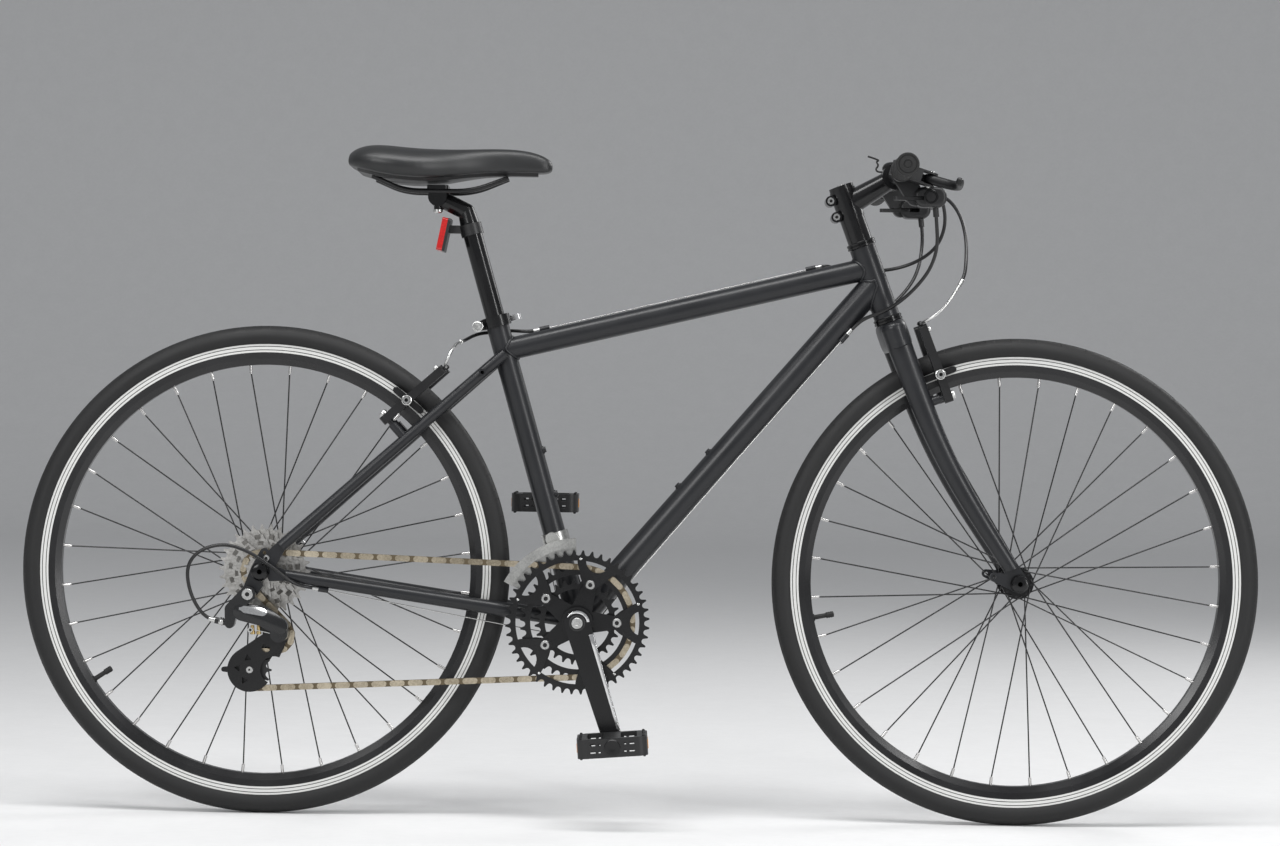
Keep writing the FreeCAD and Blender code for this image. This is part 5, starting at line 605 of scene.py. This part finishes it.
# Rim brakes: cast arms on welded posts, in satin black, each carrying a moulded shoe against the rim.
# A plated screw with cupped washers holds each shoe, and others hold the arm and clamp its wire.
dress(satin_black, "front_brake_arm_left", "front_brake_arm_right", "rear_brake_arm_left",
      "rear_brake_arm_right")
stay_low = Vector((-0.500, 0.0, 0.378))
rear_stay = (bracket_at + seat_way * 0.389 - stay_low).normalized()
stay_back = Vector((-rear_stay.z, 0.0, rear_stay.x))
brake_sets = {
    "front": (crown_at - steer_way * 0.1284 + steer_ahead * 0.0394, steer_way, steer_ahead),
    "rear": (stay_low + rear_stay * 0.2267 + stay_back * 0.0395, rear_stay, stay_back),
}
shoe_circle = 0.3115
shoe_out = 0.0500
shoe_socket = 0.0026
post_out = 0.040
wire_out = 0.036
wire_rise = 0.097
arm_face = 0.0058
shoe_screw = [(0.0, 0.0072), (0.0014, 0.0072), (0.0022, 0.0054), (0.0030, 0.0060), (0.0060, 0.0056),
              (0.0068, 0.0050), (0.0068, shoe_socket), (0.0030, shoe_socket), (0.0030, 0.0)]
for end, (pivot, rise, ahead) in brake_sets.items():
    away = Vector(wheels[end]) - pivot
    shoe_rise = away.dot(rise) + math.sqrt(shoe_circle ** 2 - away.dot(ahead) ** 2)
    for side, name in ((1, "left"), (-1, "right")):
        screws = bmesh.new()
        shoe_at = pivot + rise * shoe_rise + left * (side * shoe_out)
        turn_in(screws, shoe_at, left * side, shoe_screw, shoe_socket, 24)
        post_at = pivot + left * (side * post_out) + ahead * arm_face
        screw_in(screws, post_at, ahead, 0.0062, 0.0050, 0.0026)
        wire_at = pivot + left * (side * wire_out) + rise * wire_rise + ahead * arm_face
        screw_in(screws, wire_at, ahead, 0.0042, 0.0040, 0.0019)
        finish(screws, end + "_" + name + "_brake_screws", end + "_brake_arm_" + name, "bright_steel",
               bright, shadow)

# Cranks: forged aluminium arms in gloss black. Painted highlights in polished metal lie along the right
# arm's front edge and over the top of its hub.
# A plated cap in a nylon ring closes the end of the spindle.
dress(gloss_black, "left_crank", "right_crank", "bottom_bracket")
dress(bright, "crank_spindle")
crank_turn = math.radians(-72.0)
crank_way = Vector((math.cos(crank_turn), 0.0, math.sin(crank_turn)))
crank_side = Vector((-math.sin(crank_turn), 0.0, math.cos(crank_turn)))
crank_face = -0.080
arm_root = 0.0180
arm_tip = 0.0135
arm_length = 0.170
highlight_start = 0.020
highlight_length = 0.140
highlight_rise = -left * 0.0006
highlight_ease = 0.0004


def slab(outline, lift, edge, name, body, slot, *materials):
    """A thin plate with eased edges, from the points of its outline, raised along a direction."""
    shape = bmesh.new()
    face = shape.faces.new([shape.verts.new(place) for place in outline])
    grown = bmesh.ops.extrude_face_region(shape, geom=[face])["geom"]
    bmesh.ops.translate(shape, vec=lift, verts=[v for v in grown if isinstance(v, bmesh.types.BMVert)])
    top = [f for f in grown if isinstance(f, bmesh.types.BMFace)]
    rim_edges = list({e for f in top for e in f.edges})
    bmesh.ops.bevel(shape, geom=rim_edges, offset=edge, affect="EDGES", segments=2, profile=0.5, material=-1)
    return finish(shape, name, body, slot, *materials)


def on_arm(along, share):
    """A place on the right arm's face, by its distance from the hub and its share of the half width."""
    half = arm_root + (arm_tip - arm_root) * along / arm_length
    place = bracket_at + crank_way * along + crank_side * (half * share)
    return Vector((place.x, crank_face, place.z))


# Painted highlight: a thin polished strip laid along the front edge of the right arm.
rows = 8
front_edge = [on_arm(highlight_start + highlight_length * n / rows, 0.985) for n in range(rows + 1)]
inner_edge = [on_arm(highlight_start + highlight_length * n / rows, 0.62 + 0.10 * n / rows) for n in range(rows + 1)]
slab(front_edge + inner_edge[::-1], highlight_rise, highlight_ease, "crank_edge_highlight", "crank", "silver_alloy",
     polished)
# Painted highlight: a polished crescent laid over the top of the right arm's hub.
arc_steps = 16
arc_start = 8.0
arc_sweep = 142.0
arc_thinning = 0.0016
arc = []
for radius, order in ((0.0176, 1), (0.0136, -1)):
    turns = [math.radians(arc_start + arc_sweep * n / arc_steps) for n in range(arc_steps + 1)][::order]
    for turn in turns:
        thin = arc_thinning * max(0.0, math.degrees(turn) - 90.0) / 60.0 * (1 if order < 0 else -1)
        arc.append(Vector((bracket_at.x + (radius + thin) * math.cos(turn), crank_face,
                           bracket_at.z + (radius + thin) * math.sin(turn))))
slab(arc, highlight_rise, highlight_ease, "crank_hub_highlight", "crank", "silver_alloy", polished)
ring_profile = [(0.0, 0.0112), (0.0016, 0.0112), (0.0020, 0.0104), (0.0020, 0.0086), (0.0008, 0.0082),
                (0.0008, 0.0)]
cap_profile = [(0.0, 0.0076), (0.0014, 0.0076), (0.0019, 0.0068), (0.0019, 0.0034), (0.0015, 0.0030),
               (0.0015, 0.0)]
hub_ring = bmesh.new()
turn_in(hub_ring, Vector((bracket_at.x, -0.0790, bracket_at.z)), -left, ring_profile, steps=32)
finish(hub_ring, "spindle_ring", "crank", "black_plastic", nylon)
hub_cap = bmesh.new()
turn_in(hub_cap, Vector((bracket_at.x, -0.0797, bracket_at.z)), -left, cap_profile, steps=32)
finish(hub_cap, "spindle_cap", "crank", "bright_steel", bright)

# Chainrings: three pressed steel rings, blackened, with small plated pins that lift the chain.
# Five plated screws hold them on the spider.
ring_black = grained("black_steel", (0.0060, 0.0060, 0.0065), (0.0130, 0.0130, 0.0135), (0.20, 0.32),
                     scale=700.0, bump=0.04, metallic=0.3)
dress(ring_black, "chainrings")
ring_face = -0.0579
bolt_circle = 0.055
bolt_socket = 0.0030
ring_bolt = [(0.0, 0.0064), (0.0012, 0.0064), (0.0020, 0.0056), (0.0020, bolt_socket), (0.0004, bolt_socket),
             (0.0004, 0.0)]
pin_circle = 0.0885
pin_turns = (17.6, 88.0, 160.0, 234.0, 306.5)
lift_pin = [(0.0, 0.0019), (0.0005, 0.0018), (0.0009, 0.0010), (0.0010, 0.0)]
ring_bolts = bmesh.new()
for number in range(5):
    turn = crank_turn + math.tau / 5 * number
    spot = bracket_at + Vector((math.cos(turn), 0.0, math.sin(turn))) * bolt_circle
    turn_in(ring_bolts, Vector((spot.x, ring_face, spot.z)), -left, ring_bolt, bolt_socket)
for turn in pin_turns:
    way = Vector((math.cos(math.radians(turn)), 0.0, math.sin(math.radians(turn))))
    spot = bracket_at + way * pin_circle
    turn_in(ring_bolts, Vector((spot.x, ring_face, spot.z)), -left, lift_pin, steps=12)
finish(ring_bolts, "ring_bolts", "crank", "bright_steel", bright, shadow)

# Chain: pressed steel side plates on bushed rollers, with a golden brown film of oil.
# The inner plates and rollers, which lie between the outer plates, are painted darker, as painted shade.
oiled = grained("oiled_chain", (0.34, 0.29, 0.21), (0.60, 0.53, 0.41), (0.24, 0.38), scale=500.0,
                metallic=1.0, bump=0.05)
chain_plane = -0.050
inner_half = 0.00222
pin_head_at = -0.0540
pin_head_half = 0.00052
parts = oiled.node_tree.nodes.new("ShaderNodeSeparateXYZ")
oiled.node_tree.links.new(at_place(oiled), parts.inputs[0])
# Painted shade: the band of inner plates and rollers between the outer plates is laid darker.
inner_link_shade = near(oiled, parts.outputs["Y"], chain_plane, inner_half)
laid_over(oiled, inner_link_shade, (0.150, 0.120, 0.078), 0.42, 0.9)
pin_heads = near(oiled, parts.outputs["Y"], pin_head_at, pin_head_half)
laid_over(oiled, pin_heads, (0.20, 0.17, 0.12), 0.30, 1.0)
dress(oiled, "chain")

# Cassette: eight stamped steel cogs on a splined body, nickel plated, with rows of lightening holes.
# The holes are not cut. Rows of dark spots painted on the cogs stand for them, as painted shade seen through
# the holes.
cogs = grained("nickel_cogs", (0.34, 0.33, 0.31), (0.60, 0.59, 0.57), (0.26, 0.40), scale=260.0,
               metallic=1.0, bump=0.05)
# Painted shade: rows of dark spots where the lightening holes would show the shade behind them.
hole_shade_bands = ((0.0470, 0.0032, 15.0), (0.0380, 0.0026, 12.0), (0.0300, 0.0022, 10.0))
hole_edge = 0.30
nodes, links = cogs.node_tree.nodes, cogs.node_tree.links
parts = nodes.new("ShaderNodeSeparateXYZ")
links.new(from_axle(cogs, wheels["rear"]), parts.inputs[0])
angle = nodes.new("ShaderNodeMath")
angle.operation = "ARCTAN2"
links.new(parts.outputs["Z"], angle.inputs[0])
links.new(parts.outputs["X"], angle.inputs[1])
for middle, half, count in hole_shade_bands:
    often = nodes.new("ShaderNodeMath")
    often.operation = "MULTIPLY"
    often.inputs[1].default_value = count
    links.new(angle.outputs[0], often.inputs[0])
    wave = nodes.new("ShaderNodeMath")
    wave.operation = "SINE"
    links.new(often.outputs[0], wave.inputs[0])
    shaded_holes = nodes.new("ShaderNodeMath")
    shaded_holes.operation = "GREATER_THAN"
    shaded_holes.inputs[1].default_value = hole_edge
    links.new(wave.outputs[0], shaded_holes.inputs[0])
    band = near(cogs, round_about(cogs, wheels["rear"]), middle, half)
    laid_over(cogs, both_of(cogs, shaded_holes.outputs[0], band), (0.150, 0.145, 0.135), 0.6, 0.3)
dress(cogs, "cassette")

# Front derailleur: a pressed steel cage on links, hung from an alloy band round the seat tube.
# It is plated, and its shine has dulled a little.
pressed = grained("dull_plate", (0.34, 0.34, 0.33), (0.54, 0.54, 0.52), (0.24, 0.36), scale=500.0,
                  metallic=1.0, bump=0.05)
dress(pressed, "front_derailleur")

# Rear derailleur: a nylon body and cover in dark grey, hung on the frame by a plated bolt.
# A bare bright plate lies in the cover, and the cable ends at a clamp under it.
# The pulleys turn on bolts between two blackened steel cage plates.
mech_grey = grained("mech_grey", (0.0050, 0.0052, 0.0058), (0.0110, 0.0112, 0.0120), (0.20, 0.30),
                    scale=900.0, bump=0.06)
dress(mech_grey, "rear_derailleur")
dress(ring_black, "derailleur_cage")
dress(nylon, "guide_pulley", "tension_pulley")
mech_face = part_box("rear_derailleur")[0][1]
knuckle_face = mech_face + 0.0020
hanger_socket = 0.0030
hanger_at = Vector((-0.543, knuckle_face, 0.312))
hanger_bolt = [(0.0, 0.0078), (0.0016, 0.0078), (0.0024, 0.0070), (0.0024, hanger_socket),
               (0.0004, hanger_socket), (0.0004, 0.0)]
clamp_at = Vector((-0.5385, knuckle_face + 0.0060, 0.2625)) + left * 0.004
wire_end_at = Vector((-0.5300, knuckle_face + 0.0050, 0.2622))
wire_end = [(0.0, 0.0), (0.0, 0.0007), (0.0300, 0.0007), (0.0302, 0.0014), (0.0380, 0.0014), (0.0384, 0.0)]
barrel_way = Vector((-0.9823, 0.0, 0.1871))
barrel_at = Vector((-0.588, -0.082, 0.275)) - barrel_way * 0.0120
barrel = [(0.0, 0.0046), (0.0, 0.0054), (0.0014, 0.0060), (0.0028, 0.0053), (0.0042, 0.0060),
          (0.0056, 0.0053), (0.0066, 0.0046), (0.0072, 0.0036), (0.0160, 0.0034), (0.0160, 0.0)]
mech_bolts = bmesh.new()
turn_in(mech_bolts, hanger_at, -left, hanger_bolt, hanger_socket, 28)
screw_in(mech_bolts, clamp_at, -left, 0.0042, 0.0060, 0.0018)
turn_in(mech_bolts, wire_end_at, (0.98, 0.0, -0.2), wire_end, steps=10)
turn_in(mech_bolts, barrel_at, barrel_way, barrel)
finish(mech_bolts, "mech_bolts", "frame", "bright_steel", bright, shadow)
tension_at = Vector((-0.542054, -0.0580, 0.205366))
pulley_bolt = bmesh.new()
screw_in(pulley_bolt, tension_at, -left, 0.0050, 0.0026, 0.0016)
finish(pulley_bolt, "tension_bolt", "derailleur_cage", "bright_steel", bright, shadow)
brass = grained("brass_screw", (0.34, 0.24, 0.10), (0.52, 0.40, 0.20), (0.24, 0.36), scale=500.0,
                metallic=1.0, bump=0.05)
stop_screw = [(0.0, 0.0026), (0.0080, 0.0026), (0.0082, 0.0036), (0.0120, 0.0036), (0.0126, 0.0030),
              (0.0126, 0.0)]
stop_screws = bmesh.new()
for along in (0.0, 0.0085):
    stop_at = Vector((-0.5360 + along, knuckle_face + 0.0075, 0.2690))
    turn_in(stop_screws, stop_at, (0.05, 0.0, -1.0), stop_screw)
finish(stop_screws, "limit_screws", "frame", "bright_steel", brass)
cover_start = Vector((-0.550, 0.0, 0.287))
cover_end = Vector((-0.499, 0.0, 0.268))
cover_way = Vector((0.94299, 0.0, -0.33283)).normalized()
cover_middle = (cover_start + cover_end) / 2
cover_bulge = 0.022
plate_start = -0.5540
plate_length = 0.0385
plate_proud = 0.0005


def on_cover(x, z):
    """A place just above the crowned cover of the derailleur."""
    away = Vector((x, 0.0, z)) - cover_middle
    off = (away - cover_way * away.dot(cover_way)).length
    sunk = cover_bulge - math.sqrt(cover_bulge ** 2 - off ** 2)
    return Vector((x, mech_face + sunk - plate_proud, z))


plate = bmesh.new()
bmesh.ops.create_grid(plate, x_segments=12, y_segments=4, size=1.0)
reach = max(knot.co.x for knot in plate.verts)
for knot in plate.verts:
    share = (knot.co.x / reach + 1.0) / 2.0
    swell = math.sin(math.pi * min(1.0, 0.10 + share)) if share < 0.12 else 1.0
    end_ease = math.sqrt(max(0.0, 1.0 - max(0.0, (share - 0.80) / 0.20) ** 2))
    top = 0.2968 - 0.0046 * share
    low = 0.2876 - 0.0064 * share
    half = (top - low) / 2 * max(0.15, swell * end_ease)
    knot.co = on_cover(plate_start + plate_length * share, (top + low) / 2 + half * knot.co.y / reach)
bmesh.ops.recalc_face_normals(plate, faces=plate.faces)
bmesh.ops.solidify(plate, geom=plate.faces[:], thickness=0.0009)
finish(plate, "mech_plate", "frame", "silver_alloy", polished)

# Pedals: moulded nylon platforms with rows of studs along their edges, screwed into the cranks.
# A cap closes the axle's end, and amber reflectors are set in the front and back edges.
dress(nylon, "left_pedal", "right_pedal")
amber = grained("amber_lens", (0.60, 0.20, 0.01), (0.80, 0.32, 0.02), (0.10, 0.20), scale=300.0, bump=0.1,
                coat=0.5)
pedals = {"right_pedal": (Vector((-0.03447, -0.132, 0.11732)), 4.5),
          "left_pedal": (Vector((-0.13953, 0.132, 0.44068)), 0.0)}
pedal_end = 0.1780
stud_first = 0.0920
stud_pitch = 0.0190
stud_ahead = 0.043
stud_rise = 0.0128
lens_middle = 0.132
lens_ahead = 0.0481
lens_half_wide = 0.020
lens_half_tall = 0.0062
axle_cap = [(0.0, 0.0112), (0.0008, 0.0112), (0.0014, 0.0104), (0.0014, 0.0040), (0.0010, 0.0)]
stud = [(0.0, 0.0022), (0.0014, 0.0020), (0.0022, 0.0012), (0.0022, 0.0)]
for name, (place, tilt) in pedals.items():
    side = -1 if place.y < 0 else 1
    tip = Vector((math.cos(math.radians(tilt)), 0.0, math.sin(math.radians(tilt))))
    lift = Vector((-tip.z, 0.0, tip.x))
    caps = bmesh.new()
    turn_in(caps, Vector((place.x, side * pedal_end, place.z)), left * side, axle_cap, steps=28)
    for step in (1, -1):
        for n in range(5):
            out = side * (stud_first + stud_pitch * n)
            stud_at = Vector((place.x, out, place.z)) + tip * (stud_ahead * step)
            for way in (lift, -lift):
                turn_in(caps, stud_at + way * stud_rise, way, stud, steps=10)
    finish(caps, name + "_studs", name, "black_plastic", gloss_black)
    for step, end_name in ((1, "_front_reflector"), (-1, "_back_reflector")):
        middle = Vector((place.x, side * lens_middle, place.z)) + tip * (lens_ahead * step)
        wide, tall = left * lens_half_wide, lift * lens_half_tall
        corners = [middle + wide * a + tall * b for a, b in ((1, 1), (1, -1), (-1, -1), (-1, 1))]
        slab(corners, tip * (0.0008 * step), 0.0003, name + end_name, name, "red_lens", amber)

# Saddle: moulded foam on a nylon base, under one tight skin of satin black vinyl.
# It stands on two bent steel rails.
vinyl = grained("saddle_vinyl", (0.0080, 0.0085, 0.0090), (0.0150, 0.0156, 0.0162), (0.34, 0.44),
                scale=1500.0, bump=0.2)
dress(nylon, "saddle_base")
dress(ring_black, "saddle_rails")
shape = bmesh.new()
shape.from_mesh(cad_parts["saddle_cover"].data)
bmesh.ops.remove_doubles(shape, verts=shape.verts, dist=1e-5)
mesh = bpy.data.meshes.new("saddle_skin")
shape.to_mesh(mesh)
shape.free()
skin = bpy.data.objects.new("saddle_skin", mesh)
bpy.context.collection.objects.link(skin)
closed = skin.modifiers.new("closed", "REMESH")
closed.mode = "VOXEL"
closed.voxel_size = 0.003
eased = skin.modifiers.new("eased", "SMOOTH")
eased.factor = 0.5
eased.iterations = 6
bpy.context.view_layer.update()
mesh = bpy.data.meshes.new_from_object(skin.evaluated_get(bpy.context.evaluated_depsgraph_get()))
skin.modifiers.clear()
skin.data = mesh
mesh.materials.clear()
mesh.materials.append(vinyl)
mesh.shade_smooth()
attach(skin, "seatpost")
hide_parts("saddle_cover")

# Rear reflector: a red lens, moulded in clear plastic with a glossy face.
# Its nylon bracket is strapped round the seat post.
red_lens = grained("red_lens", (0.36, 0.004, 0.004), (0.56, 0.012, 0.010), (0.10, 0.18), scale=300.0,
                   bump=0.1, coat=0.6)
dress(red_lens, "rear_reflector")
dress(nylon, "reflector_bracket")

# Cable housings: black sheaths with a steel liner, held in stops at both ends, each with a plated ferrule.
# The three that cross from the bar to the frame bend as the fork turns; here they are baked in place once
# and ride on no body.
sheath = grained("cable_sheath", (0.0050, 0.0050, 0.0055), (0.0100, 0.0100, 0.0105), (0.26, 0.38),
                 scale=900.0, bump=0.06)
sheath_radius = 0.0025


def cable(name, points, radius, material):
    """A round cable along a smooth line through its route, as a curve."""
    line = bpy.data.curves.new(name, "CURVE")
    line.dimensions = "3D"
    line.bevel_depth = 1.0
    line.bevel_resolution = 4
    line.resolution_u = 10
    line.use_fill_caps = True
    run = line.splines.new("NURBS")
    run.points.add(len(points) - 1)
    for knot, place in zip(run.points, points):
        knot.co = (*place, 1.0)
        knot.radius = radius
    run.order_u = 3
    run.use_endpoint_u = True
    line.materials.append(material)
    piece = bpy.data.objects.new(name, line)
    bpy.context.collection.objects.link(piece)
    return piece


def centre_line(piece):
    """The points that a cable's line follows."""
    depth = piece.data.bevel_depth
    piece.data.bevel_depth = 0.0
    bpy.context.view_layer.update()
    bare = bpy.data.meshes.new_from_object(piece.evaluated_get(bpy.context.evaluated_depsgraph_get()))
    piece.data.bevel_depth = depth
    points = [v.co.copy() for v in bare.vertices]
    bpy.data.meshes.remove(bare)
    return points


def length_of(points):
    """How long a line of points is."""
    return sum((b - a).length for a, b in zip(points, points[1:]))


steered = {
    "rear_brake_housing_front": [
        (0.3788, -0.1237, 0.8985), (0.3788, -0.1097, 0.8985), (0.397, -0.084, 0.891), (0.413, -0.06, 0.87),
        (0.418, -0.036, 0.84), (0.409, -0.01, 0.812), (0.385, 0.014, 0.793), (0.353, 0.027, 0.782),
        (0.318, 0.027, 0.7785), (0.283, 0.02, 0.779), (0.263, 0.015, 0.783), (0.2531, 0.0071, 0.7844),
        (0.2395, 0.0071, 0.7811)],
    "left_gear_housing": [
        (0.3976, 0.1134, 0.848), (0.399, 0.1111, 0.8343), (0.397, 0.103, 0.8102), (0.392, 0.088, 0.788),
        (0.382, 0.072, 0.7658), (0.361, 0.054, 0.7402), (0.335, 0.037, 0.72), (0.308, 0.02, 0.711),
        (0.2936, 0.0135, 0.6982), (0.2846, 0.0135, 0.6876)],
    "right_gear_housing": [
        (0.3976, -0.1134, 0.848), (0.399, -0.1111, 0.8343), (0.401, -0.104, 0.812), (0.398, -0.088, 0.79),
        (0.388, -0.072, 0.768), (0.366, -0.054, 0.742), (0.338, -0.037, 0.721), (0.309, -0.02, 0.711),
        (0.2936, -0.0135, 0.6982), (0.2846, -0.0135, 0.6876)],
}
for name, points in steered.items():
    guide = cable(name + "_line", points, sheath_radius, sheath)
    path = centre_line(guide)
    bpy.context.view_layer.update()
    tube = bpy.data.meshes.new_from_object(guide.evaluated_get(bpy.context.evaluated_depsgraph_get()))
    bpy.data.objects.remove(guide)
    piece = bpy.data.objects.new(name, tube)
    bpy.context.collection.objects.link(piece)
    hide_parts("steering_housings")
    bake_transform(piece)

fixed = {
    "front_brake_housing": ("fork", "front_brake_cable", [
        (0.3788, 0.1237, 0.8985), (0.3788, 0.1097, 0.8985), (0.397, 0.084, 0.897), (0.426, 0.062, 0.89),
        (0.443, 0.025, 0.865), (0.45, -0.01, 0.828), (0.448, -0.034, 0.79), (0.4446, -0.0437, 0.7693),
        (0.4379, -0.049, 0.7582)]),
    "rear_brake_housing_back": ("frame", "frame_cables", [
        (-0.1483, 0.0071, 0.6871), (-0.1619, 0.0071, 0.6838), (-0.192, 0.0215, 0.686),
        (-0.216, 0.0235, 0.683), (-0.238, 0.017, 0.68), (-0.2567, -0.0002, 0.6683),
        (-0.2588, -0.014, 0.6672)]),
    "gear_loop_housing": ("frame", "frame_cables", [
        (-0.4475, -0.0649, 0.3199), (-0.4613, -0.0666, 0.3219), (-0.48, -0.0797, 0.327),
        (-0.498, -0.0858, 0.341), (-0.518, -0.0878, 0.356), (-0.544, -0.0899, 0.372),
        (-0.574, -0.0899, 0.3815), (-0.605, -0.089, 0.375), (-0.624, -0.088, 0.358),
        (-0.628, -0.0861, 0.335), (-0.62, -0.0841, 0.304), (-0.6018, -0.082, 0.2776),
        (-0.588, -0.082, 0.275)]),
}
for name, (body, node, points) in fixed.items():
    piece = cable(name, points, sheath_radius, sheath)
    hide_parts(node)
    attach(piece, body)
    length_of(centre_line(piece))
ferrule = [(-0.0010, 0.0), (-0.0010, 0.0026), (-0.0006, 0.0032), (0.0085, 0.0032), (0.0092, 0.0027)]
ends = {"frame": [(points[-1], points[-2]) for points in steered.values()], "fork": []}
for body, node, points in fixed.values():
    ends[body] += [(points[0], points[1]), (points[-1], points[-2])]
for body, pairs in ends.items():
    sleeves = bmesh.new()
    for start, towards in pairs:
        turn_in(sleeves, Vector(start), Vector(towards) - Vector(start), ferrule, steps=16)
    finish(sleeves, body + "_ferrules", body, "bright_steel", bright)

# Wires and noodles: bare plated strands, drawn tight along the tubes between the stops.
# The noodles are bent steel tubes that lead each brake wire across to its arms.
strand = 0.0008
noodle = 0.0022
wires = {
    "front_noodle": ("fork", noodle, [
        (0.4379, -0.049, 0.7582), (0.424, -0.06, 0.7353), (0.406, -0.066, 0.7163), (0.3919, -0.062, 0.7073),
        (0.387, -0.052, 0.7048), (0.3863, -0.0425, 0.7046), (0.3863, -0.03, 0.7046)]),
    "rear_noodle": ("frame", noodle, [
        (-0.2588, -0.014, 0.6672), (-0.2626, -0.038, 0.6652), (-0.268, -0.057, 0.6563),
        (-0.274, -0.064, 0.642), (-0.2776, -0.056, 0.6331), (-0.2777, -0.0425, 0.632),
        (-0.2777, -0.03, 0.632)]),
    "front_brake_wire": ("fork", strand, [(0.3863, -0.004, 0.7046), (0.3863, 0.038, 0.7046)]),
    "rear_brake_wire": ("frame", strand, [(-0.2777, -0.004, 0.632), (-0.2777, 0.038, 0.632)]),
    "top_tube_wire": ("frame", strand, [(0.2259, 0.0071, 0.7778), (-0.1346, 0.0071, 0.6904)]),
    "rear_gear_wire": ("frame", strand, [
        (0.2755, -0.0135, 0.6769), (-0.0349, -0.0135, 0.3134), (-0.0743, -0.0075, 0.2552),
        (-0.087, -0.0075, 0.252), (-0.4338, -0.0632, 0.3179)]),
    "front_gear_wire": ("frame", strand, [
        (0.2755, 0.0135, 0.6769), (-0.0349, 0.0135, 0.3134), (-0.0743, 0.0075, 0.2552),
        (-0.087, 0.0075, 0.252), (-0.1044, 0.0, 0.2583), (-0.1131, 0.0, 0.272), (-0.1168, 0.0, 0.3119),
        (-0.1357, 0.0, 0.3763)]),
}
for name, (body, radius, points) in wires.items():
    piece = cable(name, points, radius, bright)
    if len(points) == 2:
        piece.data.splines[0].order_u = 2
    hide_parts("front_brake_cable" if body == "fork" else "frame_cables")
    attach(piece, body)

# Boots: soft ribbed rubber bellows over the bare wire between the two brake arms.
# Each is pushed on the end of its noodle.
boots = {"front_boot": ("fork", (0.3863, -0.0299, 0.7046)),
         "rear_boot": ("frame", (-0.2777, -0.0299, 0.632))}
boot_length = 0.026
boot_ribs = 9
bellows = [(0.0, 0.0)]
for rib in range(boot_ribs):
    bellows += [(boot_length * rib / boot_ribs, 0.0022), (boot_length * (rib + 0.5) / boot_ribs, 0.0032)]
bellows += [(boot_length, 0.0014), (boot_length, 0.0)]
for name, (body, start) in boots.items():
    shape = bmesh.new()
    turn_in(shape, Vector(start), left, bellows, steps=24)
    finish(shape, name, body, "grip_rubber", grip_rubber)

# Floor: a plain pale sweep of paper, laid flat under the wheels and bent up far behind them.
# It is matt, so that it takes a soft shadow and no reflection.
floor_half = 14.0
floor_back = 10.0
floor_bend = 3.0
floor_top = 12.0
bend_steps = 12
shape = bmesh.new()
row = [shape.verts.new((-floor_half, -floor_half, 0.0)), shape.verts.new((-floor_half, floor_back, 0.0))]
for step in range(1, bend_steps + 1):
    turn = math.pi / 2 * step / bend_steps
    row.append(shape.verts.new((-floor_half, floor_back + floor_bend * math.sin(turn),
                                floor_bend - floor_bend * math.cos(turn))))
row.append(shape.verts.new((-floor_half, floor_back + floor_bend, floor_top)))
edges = [shape.edges.new(pair) for pair in zip(row, row[1:])]
grown = bmesh.ops.extrude_edge_only(shape, edges=edges)["geom"]
far_row = [v for v in grown if isinstance(v, bmesh.types.BMVert)]
bmesh.ops.translate(shape, vec=(2 * floor_half, 0.0, 0.0), verts=far_row)
mesh = bpy.data.meshes.new("floor")
shape.to_mesh(mesh)
shape.free()
mesh.shade_smooth()
paper = grained("pale_paper", (0.730, 0.730, 0.730), (0.755, 0.755, 0.755), (0.8, 0.9), scale=60.0, bump=0.0)
mesh.materials.append(paper)
floor = bpy.data.objects.new("floor", mesh)
bpy.context.collection.objects.link(floor)
floor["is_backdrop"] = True

# Light: a soft pale room, with broad lamps overhead and on both sides.
# A narrow strip beside the camera draws a line of light along the tubes.
world = bpy.data.worlds.new("studio")
world.use_nodes = True
room = world.node_tree.nodes["Background"]
room.inputs["Color"].default_value = (0.95, 0.97, 1.0, 1.0)
room.inputs["Strength"].default_value = 0.38
bpy.context.scene.world = world
lamps = {  # place, target, size, power
    "overhead": ((0.0, -1.2, 3.6), (0.0, 0.0, 0.4), (4.5, 1.0), 120.0),
    "camera_side": ((-2.6, -4.2, 2.6), (0.0, 0.0, 0.5), (2.0, 2.0), 80.0),
    "far_side": ((2.8, 2.4, 2.6), (0.0, 0.0, 0.5), (2.0, 1.5), 45.0),
    "strip": ((2.9, -3.1, 1.7), (0.0, 0.0, 0.6), (0.35, 3.0), 55.0),
}
for name, (place, target, size, power) in lamps.items():
    lamp = bpy.data.lights.new(name, "AREA")
    lamp.shape = "RECTANGLE"
    lamp.size, lamp.size_y = size
    lamp.energy = power
    holder = bpy.data.objects.new(name, lamp)
    holder.location = place
    holder.rotation_euler = (Vector(target) - Vector(place)).to_track_quat("-Z", "Y").to_euler()
    bpy.context.collection.objects.link(holder)

# Camera: level with the middle of the frame, square to the drive side.
# It is rolled by about one degree, as the picture is.
lens = bpy.data.cameras.new("camera")
lens.sensor_width = 36.0
lens.lens = 89.76
camera = bpy.data.objects.new("camera", lens)
camera.matrix_world = Matrix(((0.99985, -0.01735, 0.0, -0.0046), (0.0, 0.0, -1.0, -4.5),
                              (0.01735, 0.99985, 0.0, 0.558), (0.0, 0.0, 0.0, 1.0)))
bpy.context.collection.objects.link(camera)
bpy.context.scene.camera = camera
bpy.context.scene.view_settings.view_transform = "Standard"

low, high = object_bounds()
